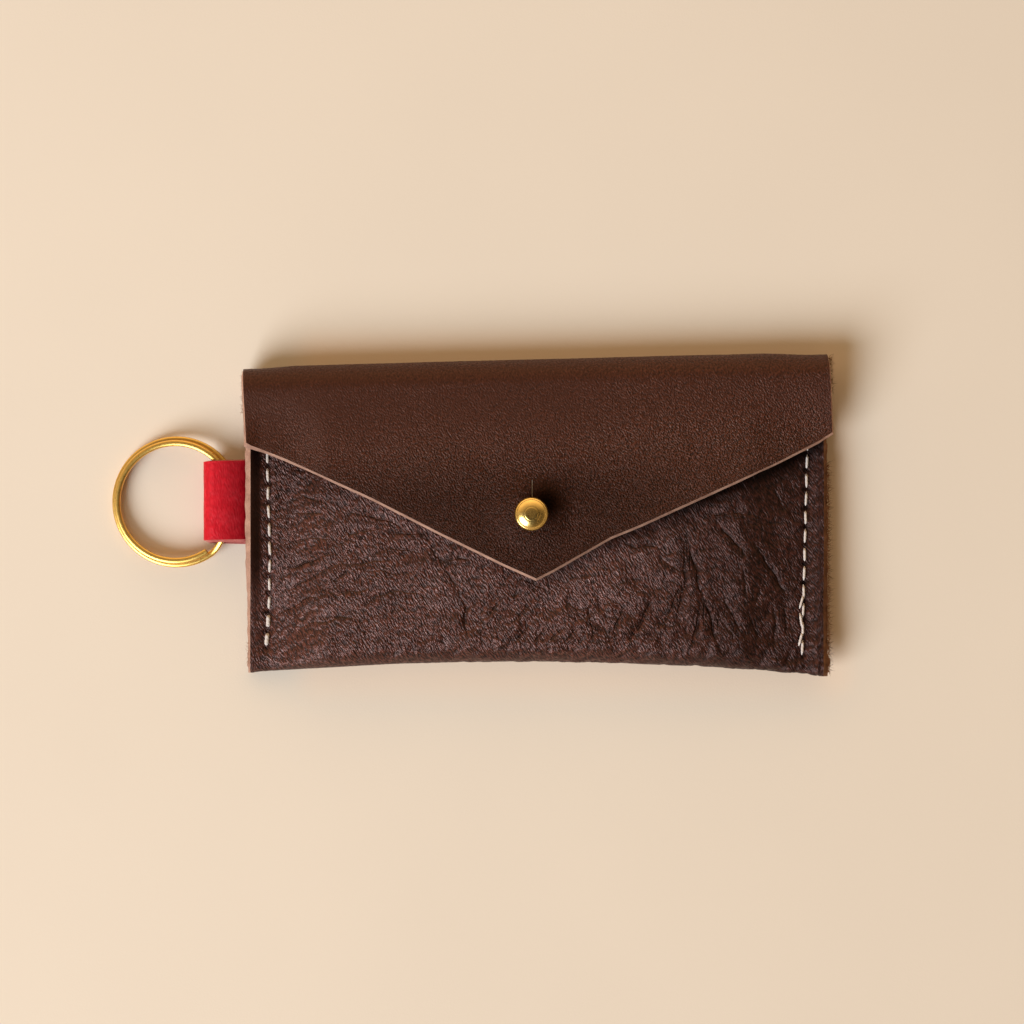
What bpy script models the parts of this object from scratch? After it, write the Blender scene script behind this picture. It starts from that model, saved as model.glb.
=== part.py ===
"""Keyring card holder: a leather envelope with a pointed flap, a ball stud and a split ring.

The pouch lies on its back. The origin is the middle of the back panel's underside, +X runs along the
width, +Y towards the top fold and +Z up, out of the front panel. All lengths are in metres.
"""

from math import asin, atan2, ceil, cos, floor, hypot, pi, radians, sin, sqrt, tan

import bmesh
import bpy
from mathutils import Vector

mm = 0.001

# Leather strip that makes the front, the back and the flap
POUCH_WIDTH = 110.6 * mm
HEIGHT_LEFT = 57.9 * mm        # bottom fold to top fold along the left edge
HEIGHT_RIGHT = 60.8 * mm       # the top fold rises a little to the right
LEATHER = 1.2 * mm
LAYER_GAP = 0.3 * mm           # running gap between neighbours that touch
FLAP_GAP = 0.36 * mm           # the same under the flap, which slopes at its sides
POCKET_GAP = 5.6 * mm          # inside height of the pocket in its full middle
POCKET_RAMP = 13.0 * mm        # width over which the front panel rises from a seam
BACK_RAMP_LEFT = 8.0 * mm      # the same on the flatter back panel
BACK_RAMP_RIGHT = 10.0 * mm
SEAM_RISE_LEFT = 0.8 * mm      # the left seam stands this far off the table
SEAM_RISE_RIGHT_TOP = 0.9 * mm
SEAM_RISE_RIGHT_BOTTOM = 3.5 * mm   # the right seam curls up towards the bottom fold
BOTTOM_DRAW_IN = 2.2 * mm      # the full middle pulls the bottom fold in
BOTTOM_DRAW_LEFT = 40.0 * mm   # run of that pull from the left seam
BOTTOM_DRAW_RIGHT = 50.0 * mm
BOTTOM_DROP_RIGHT = 0.5 * mm   # the right corner of the bottom fold lies lower
STRIP_FLARE = 1.1 * mm         # the strip widens to the left above the loop tab
MOUTH_SETBACK = 1.5 * mm       # front panel's top edge below the start of the top fold

# Flap, measured from the line where the top fold ends
FLAP_SIDE_DROP = 10.2 * mm
FLAP_TIP_PAST_STUD = 12.3 * mm
FLAP_TIP_OFFSET = -2.2 * mm    # the tip lies left of the strip's centre line
FLAP_SETTLE = 12.0 * mm        # length over which the flap comes down onto the front panel
FLAP_DOME_RADIUS = 8.5 * mm    # the leather stands up over the stud's flange
FLAP_STIFF_SHARE = 0.5         # the flap's sides follow the sloping panel only this far down

# Seams
SEAM_INSET = 3.2 * mm          # stitch line in from the edge of the leather
SEAM_INSET_RIGHT_BOTTOM = 4.9 * mm
SEAM_END_TOP = 2.2 * mm        # last hole below the front panel's top edge
SEAM_END_BOTTOM = 4.4 * mm     # first hole above the bottom fold
SEAM_END_RIGHT_BOTTOM = 2.9 * mm
STITCH_PITCH = 3.3 * mm
THREAD = 0.5 * mm
THREAD_GAP = 0.2 * mm
THREAD_SPREAD = 0.72 * mm      # the two passes of thread lie side by side in a hole

# Stud with its rounded head, and its backing screw
STUD_X = -1.4 * mm
STUD_Y = 0.3 * mm
STUD_HEAD_RADIUS = 3.2 * mm
STUD_HEAD_RISE = 1.75 * mm     # crown above the head's widest place
STUD_HEAD_FALL = 2.6 * mm      # the rounder half below, towards the neck
STUD_TOP_FLAT_RADIUS = 1.15 * mm
STUD_NECK_RADIUS = 1.5 * mm
STUD_BASE_RADIUS = 3.2 * mm
STUD_BASE_THICKNESS = 0.6 * mm
STUD_BORE_RADIUS = 1.05 * mm
STUD_BORE_DEPTH = 4.2 * mm
SCREW_CLEARANCE = 0.1 * mm
SCREW_HEAD_RADIUS = 3.5 * mm
SCREW_HEAD_THICKNESS = 0.8 * mm
SCREW_SLOT_WIDTH = 0.9 * mm
SCREW_SLOT_DEPTH = 0.4 * mm

# Buttonhole in the flap
BUTTON_ZONE_MARGIN = 1.25 * mm   # room round the head for the flap to lift straight off
BUTTON_ZONE_SHIFT = 0.4 * mm     # the flap swings, so the room lies towards the tip
NECK_CLEARANCE = 0.3 * mm
SLIT_WIDTH = 0.4 * mm
SLIT_LENGTH = 6.5 * mm           # from the neck's centre towards the top fold

# Red loop tab
TAB_WIDTH = 15.6 * mm
TAB_Y = 2.6 * mm
TAB_LEATHER = 1.1 * mm
TAB_REACH = 8.4 * mm             # loop's outer end beyond the edge of the pouch
TAB_ROOT = 2.2 * mm              # how far the tab runs in past the stitch line
TAB_SKEW = 0.7 * mm              # the under layer lies this far below the upper one
TAB_SPREAD_RUN = 14.0 * mm       # the seam closes again over this length beside the tab
TAB_RING_GAP = 0.3 * mm
EDGE_CURL = 1.5 * mm             # front panel's cut edge lifted by the loop

# Split ring
RING_RADIUS = 12.5 * mm
RING_WIRE_WIDTH = 1.2 * mm
RING_WIRE_HEIGHT = 0.9 * mm
RING_COIL_GAP = 0.42 * mm
RING_INSET = 0.7 * mm            # the upper coil runs inside the lower one
RING_CLEAR_OF_POUCH = 1.3 * mm
RING_STEP_ANGLE = radians(-57)   # free end of the upper coil
RING_STEP_SPAN = radians(28)     # the wire climbs from one coil to the other

# Mesh fineness
SIDE_COLUMNS = 12
MIDDLE_COLUMNS = 10
FRONT_ROWS = 22
BACK_ROWS = 6
FOLD_STEPS = 10
FLAP_ROWS = 14
TAB_COLUMNS = 6
TAB_FOLD_STEPS = 10
RING_STEPS_PER_TURN = 48
TURNED_STEPS = 28
OVERRUN = 2.0 * mm               # cutters run this far past what they cut

# Worked out from the sizes above
MEAN_HEIGHT = (HEIGHT_LEFT + HEIGHT_RIGHT) / 2
BOTTOM_Y = -MEAN_HEIGHT / 2
FOLD_ANGLE = atan2(HEIGHT_RIGHT - HEIGHT_LEFT, POUCH_WIDTH)
TAB_STACK = 2 * TAB_LEATHER + 3 * LAYER_GAP
FRONT_TOP = 2 * LEATHER + POCKET_GAP
CLOSED_HEIGHT = FRONT_TOP + FLAP_GAP + LEATHER
FOLD_RADIUS = CLOSED_HEIGHT / 2
FOLD_MIDDLE_RADIUS = FOLD_RADIUS - LEATHER / 2
TANGENT_Y = (BOTTOM_Y + HEIGHT_LEFT + BOTTOM_Y + HEIGHT_RIGHT) / 2 - FOLD_RADIUS / cos(FOLD_ANGLE)
FLAP_TIP_DROP = TANGENT_Y - STUD_Y + FLAP_TIP_PAST_STUD
FLAP_RISE_AT_STUD = STUD_BASE_THICKNESS + LAYER_GAP
STUD_BASE_Z = FRONT_TOP + LAYER_GAP
STUD_NECK_TOP = STUD_BASE_Z + STUD_BASE_THICKNESS + 2 * LAYER_GAP + LEATHER
STUD_HEAD_Z = STUD_NECK_TOP + STUD_HEAD_FALL * sqrt(1 - (STUD_NECK_RADIUS / STUD_HEAD_RADIUS) ** 2)
BUTTON_ZONE_RADIUS = STUD_HEAD_RADIUS + BUTTON_ZONE_MARGIN
RING_HEIGHT = 2 * RING_WIRE_HEIGHT + RING_COIL_GAP
LOOP_INSIDE = RING_HEIGHT + 2 * TAB_RING_GAP


def smooth(share):
    """0 below 0, 1 above 1, and level at both ends."""
    share = min(max(share, 0), 1)
    return share * share * (3 - 2 * share)


def mix(start, end, share):
    return start + (end - start) * share


# Shape of the pouch

def right_inset(y):
    share = (y - BOTTOM_Y) / MEAN_HEIGHT
    return mix(SEAM_INSET_RIGHT_BOTTOM, SEAM_INSET, min(max(share, 0), 1))


def inside_left_seam(x):
    return x + POUCH_WIDTH / 2 - SEAM_INSET


def inside_right_seam(x, y):
    return POUCH_WIDTH / 2 - right_inset(y) - x


def fullness(x, y, ramp):
    """1 in the middle of the pouch, falling to 0 at both stitch lines."""
    return smooth(inside_left_seam(x) / ramp) * smooth(inside_right_seam(x, y) / ramp)


def beside_tab(y):
    """1 along the tab's width, falling to 0 where the left seam has closed again."""
    beyond = abs(y - TAB_Y) - (TAB_WIDTH / 2 + TAB_SKEW + LAYER_GAP)
    return 1 - smooth(beyond / TAB_SPREAD_RUN)


def pocket_gap(x, y):
    full = fullness(x, y, POCKET_RAMP)
    tab_spread = (TAB_STACK - LAYER_GAP) * beside_tab(y) * (1 - smooth(inside_left_seam(x) / POCKET_RAMP))
    curl = EDGE_CURL * beside_tab(y) * smooth(-inside_left_seam(x) / SEAM_INSET)
    return mix(LAYER_GAP + tab_spread, POCKET_GAP, full) + curl


def seam_rise_right(y):
    share = (y - BOTTOM_Y) / MEAN_HEIGHT
    return mix(SEAM_RISE_RIGHT_BOTTOM, SEAM_RISE_RIGHT_TOP, min(max(share, 0), 1))


def back_z(x, y):
    """Height of the back panel's underside."""
    left = SEAM_RISE_LEFT * (1 - smooth(inside_left_seam(x) / BACK_RAMP_LEFT))
    return left + seam_rise_right(y) * (1 - smooth(inside_right_seam(x, y) / BACK_RAMP_RIGHT))


def front_z(x, y):
    """Height of the front panel's outer face."""
    return back_z(x, y) + 2 * LEATHER + pocket_gap(x, y)


def tangent_y(x):
    """The straight back panel ends and the top fold starts here."""
    return TANGENT_Y + x * tan(FOLD_ANGLE)


def mouth_y(x):
    return tangent_y(x) - MOUTH_SETBACK


def bottom_y(x):
    """Outline of the bottom fold, drawn in most in the middle."""
    corner = BOTTOM_Y - BOTTOM_DROP_RIGHT * (x / POUCH_WIDTH + 1 / 2)
    drawn = (smooth(inside_left_seam(x) / BOTTOM_DRAW_LEFT)
             * smooth(inside_right_seam(x, BOTTOM_Y) / BOTTOM_DRAW_RIGHT))
    return mix(corner, BOTTOM_Y + BOTTOM_DRAW_IN, sqrt(drawn))


def bottom_section(x):
    """Where the bottom fold starts, its radius and the height of its centre."""
    edge = bottom_y(x)
    low, high = back_z(x, edge), front_z(x, edge)
    radius = (high - low) / 2
    return edge + radius, radius, low + radius


def flared(x, y):
    """Place across the strip, which widens to the left between the loop tab and the fold."""
    start = TAB_Y + TAB_WIDTH / 2
    share = smooth((y - start) / (tangent_y(x) - start))
    return x - STRIP_FLARE * share * (1 / 2 - x / POUCH_WIDTH)


def column_places():
    """Places across the strip, closer together where the panels slope."""
    side = SEAM_INSET_RIGHT_BOTTOM + POCKET_RAMP
    half = POUCH_WIDTH / 2
    left = [-half + side * i / SIDE_COLUMNS for i in range(SIDE_COLUMNS)]
    middle = [mix(-half + side, half - side, i / MIDDLE_COLUMNS) for i in range(MIDDLE_COLUMNS)]
    right = [half - side + side * i / SIDE_COLUMNS for i in range(SIDE_COLUMNS + 1)]
    return left + middle + right


# Shape of the top fold and the flap

def strip_width_at(x, rolled):
    """Where a line along the strip lies after it has rolled this far round the sloping fold."""
    return x / cos(FOLD_ANGLE) + rolled * tan(FOLD_ANGLE)


def fold_to_world(along, out):
    """A place measured along the fold line and square to it, as world x and y."""
    x = along * cos(FOLD_ANGLE) - out * sin(FOLD_ANGLE)
    y = TANGENT_Y + along * sin(FOLD_ANGLE) + out * cos(FOLD_ANGLE)
    return x, y


def flap_length(x):
    """Length of the flap beyond the fold, on this line of the strip."""
    half = POUCH_WIDTH / 2
    reach = half - FLAP_TIP_OFFSET if x > FLAP_TIP_OFFSET else half + FLAP_TIP_OFFSET
    return mix(FLAP_TIP_DROP, FLAP_SIDE_DROP, abs(x - FLAP_TIP_OFFSET) / reach)


def flap_under_z(x, y, drop):
    """Height of the flap's under face: level at the fold, then lying on the front panel."""
    over_stud = FLAP_RISE_AT_STUD * dome_share(1 - hypot(x - STUD_X, y - STUD_Y) / FLAP_DOME_RADIUS)
    over_seam = (THREAD + THREAD_GAP) * (1 - fullness(x, y, POCKET_RAMP))
    panel = front_z(x, y) + over_seam
    resting = mix(panel, max(panel, FRONT_TOP), FLAP_STIFF_SHARE) + FLAP_GAP + over_stud
    return mix(CLOSED_HEIGHT - LEATHER, resting, smooth(drop / FLAP_SETTLE))


def dome_share(nearness):
    """Full height over the stud's flange, then a soft fall."""
    return smooth(nearness * FLAP_DOME_RADIUS / (FLAP_DOME_RADIUS - STUD_BASE_RADIUS))


def flap_point(x, drop):
    rolled = pi * FOLD_MIDDLE_RADIUS + drop
    across = strip_width_at(flared(x, tangent_y(x)), rolled)
    world_x, world_y = fold_to_world(across, -drop)
    return Vector((world_x, world_y, flap_under_z(world_x, world_y, drop)))


def flap_columns():
    """The strip's columns, with one through the tip."""
    places = column_places()
    nearest = min(range(len(places)), key=lambda i: abs(places[i] - FLAP_TIP_OFFSET))
    places[nearest] = FLAP_TIP_OFFSET
    return places


# Making objects

def clear_scene():
    for obj in list(bpy.data.objects):
        bpy.data.objects.remove(obj, do_unlink=True)


def make_material(name, colour, roughness, metallic=0.0):
    material = bpy.data.materials.new(name)
    material.use_nodes = True
    shader = material.node_tree.nodes["Principled BSDF"]
    shader.inputs["Base Color"].default_value = (*colour, 1)
    shader.inputs["Roughness"].default_value = roughness
    shader.inputs["Metallic"].default_value = metallic
    return material


def add_object(name, data, material=None):
    obj = bpy.data.objects.new(name, data)
    bpy.context.scene.collection.objects.link(obj)
    if material:
        data.materials.append(material)
    return obj


def mesh_object(name, bm, material=None):
    bmesh.ops.recalc_face_normals(bm, faces=bm.faces)
    mesh = bpy.data.meshes.new(name)
    bm.to_mesh(mesh)
    bm.free()
    return add_object(name, mesh, material)


def sheet_mesh(columns):
    """A grid of faces over equally long columns of points."""
    bm = bmesh.new()
    grid = [[bm.verts.new(point) for point in column] for column in columns]
    for left, right in zip(grid, grid[1:]):
        for i in range(len(left) - 1):
            bm.faces.new((left[i], right[i], right[i + 1], left[i + 1]))
    return bm


def sheet_object(name, columns, material, flip=False):
    bm = sheet_mesh(columns)
    if flip:
        bmesh.ops.reverse_faces(bm, faces=bm.faces)
    mesh = bpy.data.meshes.new(name)
    bm.to_mesh(mesh)
    bm.free()
    return add_object(name, mesh, material)


def thicken(obj, thickness, offset):
    """offset 1 adds the thickness on the faces' outer side, -1 on their inner side."""
    wall = obj.modifiers.new("Thickness", "SOLIDIFY")
    wall.thickness = thickness
    wall.offset = offset
    wall.use_even_offset = True


def shade_round(obj, angle):
    obj.data.shade_smooth()
    obj.data.set_sharp_from_angle(angle=angle)


def cut(obj, cutter, operation="DIFFERENCE"):
    boolean = obj.modifiers.new(cutter.name, "BOOLEAN")
    boolean.operation = operation
    boolean.solver = "EXACT"
    boolean.object = cutter


def as_cutter(obj):
    obj.hide_render = True
    obj.display_type = "WIRE"
    return obj


def box_into(bm, low, high):
    made = bmesh.ops.create_cube(bm, size=1)["verts"]
    for vert in made:
        for axis in range(3):
            vert.co[axis] = mix(low[axis], high[axis], vert.co[axis] + 1 / 2)


def cylinder_cutter(name, radius, centre, low, high):
    bm = bmesh.new()
    bmesh.ops.create_cone(bm, cap_ends=True, segments=TURNED_STEPS, radius1=radius, radius2=radius,
                          depth=high - low)
    bmesh.ops.translate(bm, verts=bm.verts, vec=(centre[0], centre[1], (low + high) / 2))
    return as_cutter(mesh_object(name, bm))


def turned_object(name, profile, centre, material):
    """A solid of revolution from (radius, height) points that start and end on the axis."""
    bm = bmesh.new()
    verts = [bm.verts.new((radius, 0, height)) for radius, height in profile]
    edges = [bm.edges.new(pair) for pair in zip(verts, verts[1:])]
    bmesh.ops.spin(bm, geom=verts + edges, cent=(0, 0, 0), axis=(0, 0, 1), angle=2 * pi,
                   steps=TURNED_STEPS, use_merge=True)
    bmesh.ops.remove_doubles(bm, verts=bm.verts, dist=SCREW_CLEARANCE / 100)
    obj = mesh_object(name, bm, material)
    obj.location = (*centre, 0)
    shade_round(obj, radians(35))
    return obj


# Stitch holes and thread

def seam_place(side, share):
    """Centre of a stitch line at a share of its length, counted from the bottom."""
    x = side * (POUCH_WIDTH / 2 - SEAM_INSET)
    low = BOTTOM_Y + (SEAM_END_RIGHT_BOTTOM if side > 0 else SEAM_END_BOTTOM)
    high = mouth_y(x) - SEAM_END_TOP
    y = mix(low, high, share)
    inset = right_inset(y) if side > 0 else SEAM_INSET
    return side * (POUCH_WIDTH / 2 - inset), y


def stitch_count(side):
    x_low, y_low = seam_place(side, 0)
    x_high, y_high = seam_place(side, 1)
    return floor((y_high - y_low) / STITCH_PITCH)


def hole_places(side):
    count = stitch_count(side)
    return [seam_place(side, i / count) for i in range(count + 1)]


def stitch_hole_cutter():
    """The awl's slits along both seams, as one cutter."""
    bm = bmesh.new()
    half_x = (THREAD_SPREAD + THREAD) / 2 + THREAD_GAP
    half_y = THREAD / 2 + THREAD_GAP
    top = CLOSED_HEIGHT + OVERRUN
    for x, y in hole_places(-1) + hole_places(1):
        box_into(bm, (x - half_x, y - half_y, -OVERRUN), (x + half_x, y + half_y, top))
    return as_cutter(mesh_object("stitch_hole_cutter", bm))


def surface_run(start, end, on_top, offset):
    """One stitch, lying along the leather between two holes and drawn to the stitch line."""
    lift = THREAD / 2 + THREAD_GAP
    run = []
    for share, offset_share in ((0.18, 0.5), (0.5, 0), (0.82, 0.5)):
        x, y = mix(start[0], end[0], share), mix(start[1], end[1], share)
        z = front_z(x, y) + lift if on_top else back_z(x, y) - lift
        run.append((x + offset * offset_share, y, z))
    return run


def hole_pass(place, offset, upward):
    x, y = place
    low = (x + offset, y, back_z(x, y) - THREAD_GAP / 2)
    high = (x + offset, y, front_z(x, y) + THREAD_GAP / 2)
    return [low, high] if upward else [high, low]


def saddle_stitch(side):
    """One thread woven up the seam and back down it, so that each stitch shows on both faces."""
    holes = hole_places(side)
    last = len(holes) - 1
    middle_z = (front_z(*holes[0]) + back_z(*holes[0])) / 2
    near, far = -THREAD_SPREAD / 2, THREAD_SPREAD / 2
    points = [(holes[0][0] + near, holes[0][1], middle_z),
              (holes[0][0] + near, holes[0][1], front_z(*holes[0]) + THREAD_GAP / 2)]
    on_top = True
    for i in range(last):
        points += surface_run(holes[i], holes[i + 1], on_top, near)
        points += hole_pass(holes[i + 1], near, not on_top)
        on_top = not on_top
    for i in range(last, 0, -1):
        points += surface_run(holes[i], holes[i - 1], on_top, far)
        if i > 1:
            points += hole_pass(holes[i - 1], far, not on_top)
        on_top = not on_top
    end_z = back_z(*holes[0]) - THREAD_GAP / 2
    points += [(holes[0][0] + far, holes[0][1], end_z), (holes[0][0] + far, holes[0][1], middle_z)]
    return points


def make_thread(name, side, material):
    curve = bpy.data.curves.new(name, "CURVE")
    curve.dimensions = "3D"
    curve.bevel_depth = THREAD / 2
    curve.bevel_resolution = 1
    curve.use_fill_caps = True
    spline = curve.splines.new("POLY")
    points = saddle_stitch(side)
    spline.points.add(len(points) - 1)
    for target, point in zip(spline.points, points):
        target.co = (*point, 1)
    return add_object(name, curve, material)


# The pieces

def make_pouch_body(material, cutters):
    columns = []
    for x in column_places():
        tangent, radius, centre_z = bottom_section(x)
        column = []
        for i in range(FRONT_ROWS):
            y = mix(mouth_y(x), tangent, i / FRONT_ROWS)
            column.append((x, y, front_z(x, y)))
        for i in range(FOLD_STEPS + 1):
            angle = pi * i / FOLD_STEPS
            column.append((x, tangent - radius * sin(angle), centre_z + radius * cos(angle)))
        for i in range(1, BACK_ROWS + 1):
            y = mix(tangent, tangent_y(x), i / BACK_ROWS)
            column.append((flared(x, y), y, back_z(x, y)))
        columns.append(column)
    body = sheet_object("pouch_body", columns, material, flip=True)
    thicken(body, LEATHER, -1)
    for cutter in cutters:
        cut(body, cutter)
    shade_round(body, radians(40))
    return body


def make_top_fold(material):
    """The strip from the back panel, round the top fold, to the flap."""
    columns = []
    start = 2 * LAYER_GAP / FOLD_RADIUS
    for x in column_places():
        low = back_z(x, tangent_y(x))
        radius = (CLOSED_HEIGHT - low) / 2
        column = []
        for i in range(FOLD_STEPS + 1):
            angle = mix(start, pi - start, i / FOLD_STEPS)
            rolled = FOLD_MIDDLE_RADIUS * angle
            across = strip_width_at(flared(x, tangent_y(x)), rolled)
            place = fold_to_world(across, radius * sin(angle))
            column.append((*place, low + radius - radius * cos(angle)))
        columns.append(column)
    fold = sheet_object("top_fold", columns, material, flip=True)
    thicken(fold, LEATHER, -1)
    shade_round(fold, radians(40))
    return fold


def flap_sheet(name, material):
    columns = []
    for x in flap_columns():
        length = flap_length(x)
        columns.append([flap_point(x, length * i / FLAP_ROWS) for i in range(FLAP_ROWS + 1)])
    sheet = sheet_object(name, columns, material, flip=True)
    thicken(sheet, LEATHER, 1)
    return sheet


def slit_cutter():
    bm = bmesh.new()
    low = (STUD_X - SLIT_WIDTH / 2, STUD_Y, 0)
    high = (STUD_X + SLIT_WIDTH / 2, STUD_Y + SLIT_LENGTH, CLOSED_HEIGHT + OVERRUN * 2)
    box_into(bm, low, high)
    return as_cutter(mesh_object("slit_cutter", bm))


def make_flap(material, slit):
    """The pointed flap, open round the stud where the softer buttonhole leather lies."""
    flap = flap_sheet("flap", material)
    zone = cylinder_cutter("button_zone_cutter", BUTTON_ZONE_RADIUS,
                           (STUD_X, STUD_Y - BUTTON_ZONE_SHIFT), 0, CLOSED_HEIGHT + OVERRUN * 2)
    cut(flap, zone)
    cut(flap, slit)
    shade_round(flap, radians(40))
    return flap


def make_buttonhole(material, slit):
    """The leather of the flap that gives way as the ball goes through its slit."""
    zone = flap_sheet("flap_buttonhole", material)
    disc = cylinder_cutter("buttonhole_cutter", BUTTON_ZONE_RADIUS - LAYER_GAP,
                           (STUD_X, STUD_Y - BUTTON_ZONE_SHIFT), 0, CLOSED_HEIGHT + OVERRUN * 2)
    neck = cylinder_cutter("neck_cutter", STUD_NECK_RADIUS + NECK_CLEARANCE, (STUD_X, STUD_Y), 0,
                           CLOSED_HEIGHT + OVERRUN * 2)
    cut(zone, disc, "INTERSECT")
    cut(zone, neck)
    cut(zone, slit)
    shade_round(zone, radians(40))
    return zone


def head_profile():
    """The head from the neck round its widest place to the small flat top."""
    start = pi - asin(STUD_NECK_RADIUS / STUD_HEAD_RADIUS)
    end = asin(STUD_TOP_FLAT_RADIUS / STUD_HEAD_RADIUS)
    steps = TURNED_STEPS // 2
    points = []
    for i in range(steps + 1):
        angle = mix(start, end, i / steps)
        height = STUD_HEAD_RISE if cos(angle) > 0 else STUD_HEAD_FALL
        points.append((STUD_HEAD_RADIUS * sin(angle), STUD_HEAD_Z + height * cos(angle)))
    return points


def make_stud(material):
    bore_top = STUD_BASE_Z + STUD_BORE_DEPTH
    base_top = STUD_BASE_Z + STUD_BASE_THICKNESS
    head = head_profile()
    profile = [(0, bore_top + STUD_BORE_RADIUS / 2), (STUD_BORE_RADIUS, bore_top),
               (STUD_BORE_RADIUS, STUD_BASE_Z), (STUD_BASE_RADIUS, STUD_BASE_Z),
               (STUD_BASE_RADIUS, mix(STUD_BASE_Z, base_top, 0.5)),
               (mix(STUD_BASE_RADIUS, STUD_NECK_RADIUS, 0.2), base_top), (STUD_NECK_RADIUS, base_top)]
    profile += head + [(0, head[-1][1])]
    return turned_object("stud", profile, (STUD_X, STUD_Y), material)


def make_stud_screw(material):
    """Head flat against the inside of the front panel, shank up into the stud."""
    head_top = FRONT_TOP - LEATHER - LAYER_GAP
    head_low = head_top - SCREW_HEAD_THICKNESS
    shank = STUD_BORE_RADIUS - SCREW_CLEARANCE
    tip = STUD_BASE_Z + STUD_BORE_DEPTH - LAYER_GAP
    profile = [(0, head_low), (SCREW_HEAD_RADIUS - SCREW_HEAD_THICKNESS / 3, head_low),
               (SCREW_HEAD_RADIUS, mix(head_low, head_top, 0.5)), (SCREW_HEAD_RADIUS, head_top),
               (shank, head_top), (shank, tip), (0, tip)]
    screw = turned_object("stud_screw", profile, (STUD_X, STUD_Y), material)
    bm = bmesh.new()
    reach = SCREW_HEAD_RADIUS + OVERRUN
    low = (STUD_X - SCREW_SLOT_WIDTH / 2, STUD_Y - reach, head_low - OVERRUN)
    high = (STUD_X + SCREW_SLOT_WIDTH / 2, STUD_Y + reach, head_low + SCREW_SLOT_DEPTH)
    box_into(bm, low, high)
    cut(screw, as_cutter(mesh_object("screw_slot_cutter", bm)))
    return screw


# Loop tab and split ring

def ring_tilt():
    """The far side of the ring lies on the table and its near side in the loop."""
    reach = 2 * RING_RADIUS
    return atan2(loop_z() - RING_HEIGHT / 2, reach - TAB_REACH / 2)


def loop_z():
    """Height of the middle of the loop, where the ring goes through it."""
    return SEAM_RISE_LEFT + LOOP_INSIDE / 2 + TAB_LEATHER + LAYER_GAP / 2


def ring_centre():
    tilt = ring_tilt()
    return (-POUCH_WIDTH / 2 - RING_CLEAR_OF_POUCH - RING_RADIUS * cos(tilt), TAB_Y,
            RING_HEIGHT / 2 * cos(tilt) + RING_RADIUS * sin(tilt))


def ring_plane_z(x):
    """Height of the ring's middle plane, carried on level past its near side."""
    centre = ring_centre()
    near = centre[0] + RING_RADIUS
    return centre[2] + (min(x, near) - centre[0]) * tan(ring_tilt())


def tab_middle_line():
    """The tab's section: in from the seam along the under layer, round the ring and back."""
    seam_x = -POUCH_WIDTH / 2 + SEAM_INSET
    edge_x = -POUCH_WIDTH / 2
    end_x = edge_x - TAB_REACH + TAB_LEATHER / 2
    bend = LOOP_INSIDE / 2 + TAB_LEATHER / 2
    root_low = SEAM_RISE_LEFT + LEATHER + LAYER_GAP + TAB_LEATHER / 2
    root_high = root_low + TAB_LEATHER + LAYER_GAP
    near = ring_centre()[0] + RING_RADIUS
    fold_x = end_x + bend
    low, high = [], []
    steps = TAB_FOLD_STEPS
    for i in range(steps + 1):
        x = mix(seam_x + TAB_ROOT, fold_x, i / steps)
        plane = ring_plane_z(x)
        falling = smooth((edge_x + LAYER_GAP - x) / (edge_x - near + RING_CLEAR_OF_POUCH))
        rising = smooth((seam_x - x) / (seam_x - near))
        low.append((x, mix(root_low, plane - bend, falling)))
        high.append((x, mix(root_high, plane + bend, rising)))
    centre_z = ring_plane_z(fold_x)
    turn = [(fold_x - bend * sin(pi * i / steps), centre_z - bend * cos(pi * i / steps))
            for i in range(1, steps)]
    return low + turn + high[::-1]


def make_loop_tab(material, holes):
    line = tab_middle_line()
    columns = []
    for column in range(TAB_COLUMNS + 1):
        across = mix(-TAB_WIDTH / 2, TAB_WIDTH / 2, column / TAB_COLUMNS)
        points = []
        for i, (x, z) in enumerate(line):
            skew = TAB_SKEW * (i / (len(line) - 1) - 1 / 2)
            points.append((x, TAB_Y + across + skew, z))
        columns.append(points)
    tab = sheet_object("loop_tab", columns, material)
    thicken(tab, TAB_LEATHER, 0)
    cut(tab, holes)
    shade_round(tab, radians(40))
    return tab


def wire_place(turn_angle):
    """Radius and height of the wire's centre: low outer coil, a short climb, upper inner coil."""
    climb_start = RING_STEP_ANGLE + 2 * pi
    share = smooth((turn_angle - climb_start) / RING_STEP_SPAN)
    radius = RING_RADIUS - RING_WIRE_WIDTH / 2 - RING_INSET * share
    rise = (RING_WIRE_HEIGHT + RING_COIL_GAP) * (share - 1 / 2)
    return radius, rise


def wire_section():
    """Corner-cut rectangle, as (radial, upward) points."""
    half_w, half_h = RING_WIRE_WIDTH / 2, RING_WIRE_HEIGHT / 2
    chamfer_share = 0.4
    in_w, in_h = half_w * (1 - chamfer_share), half_h * (1 - chamfer_share)
    corner = [(half_w, in_h), (in_w, half_h)]
    upper = corner + [(-w, h) for w, h in corner[::-1]]
    return upper + [(-w, -h) for w, h in upper]


def make_split_ring(material):
    start = RING_STEP_ANGLE + RING_STEP_SPAN
    end = RING_STEP_ANGLE + 4 * pi
    steps = ceil((end - start) / (2 * pi) * RING_STEPS_PER_TURN)
    bm = bmesh.new()
    loops = []
    for i in range(steps + 1):
        angle = mix(start, end, i / steps)
        radius, rise = wire_place(angle)
        loops.append([bm.verts.new(((radius + w) * cos(angle), (radius + w) * sin(angle), rise + h))
                      for w, h in wire_section()])
    for first, second in zip(loops, loops[1:]):
        for i in range(len(first)):
            j = (i + 1) % len(first)
            bm.faces.new((first[i], first[j], second[j], second[i]))
    bm.faces.new(loops[0][::-1])
    bm.faces.new(loops[-1])
    ring = mesh_object("split_ring", bm, material)
    ring.location = ring_centre()
    ring.rotation_euler = (0, -ring_tilt(), 0)
    shade_round(ring, radians(50))
    print("split ring: least gap between its coils", round(least_coil_gap() / mm, 3), "mm")
    return ring


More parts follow.
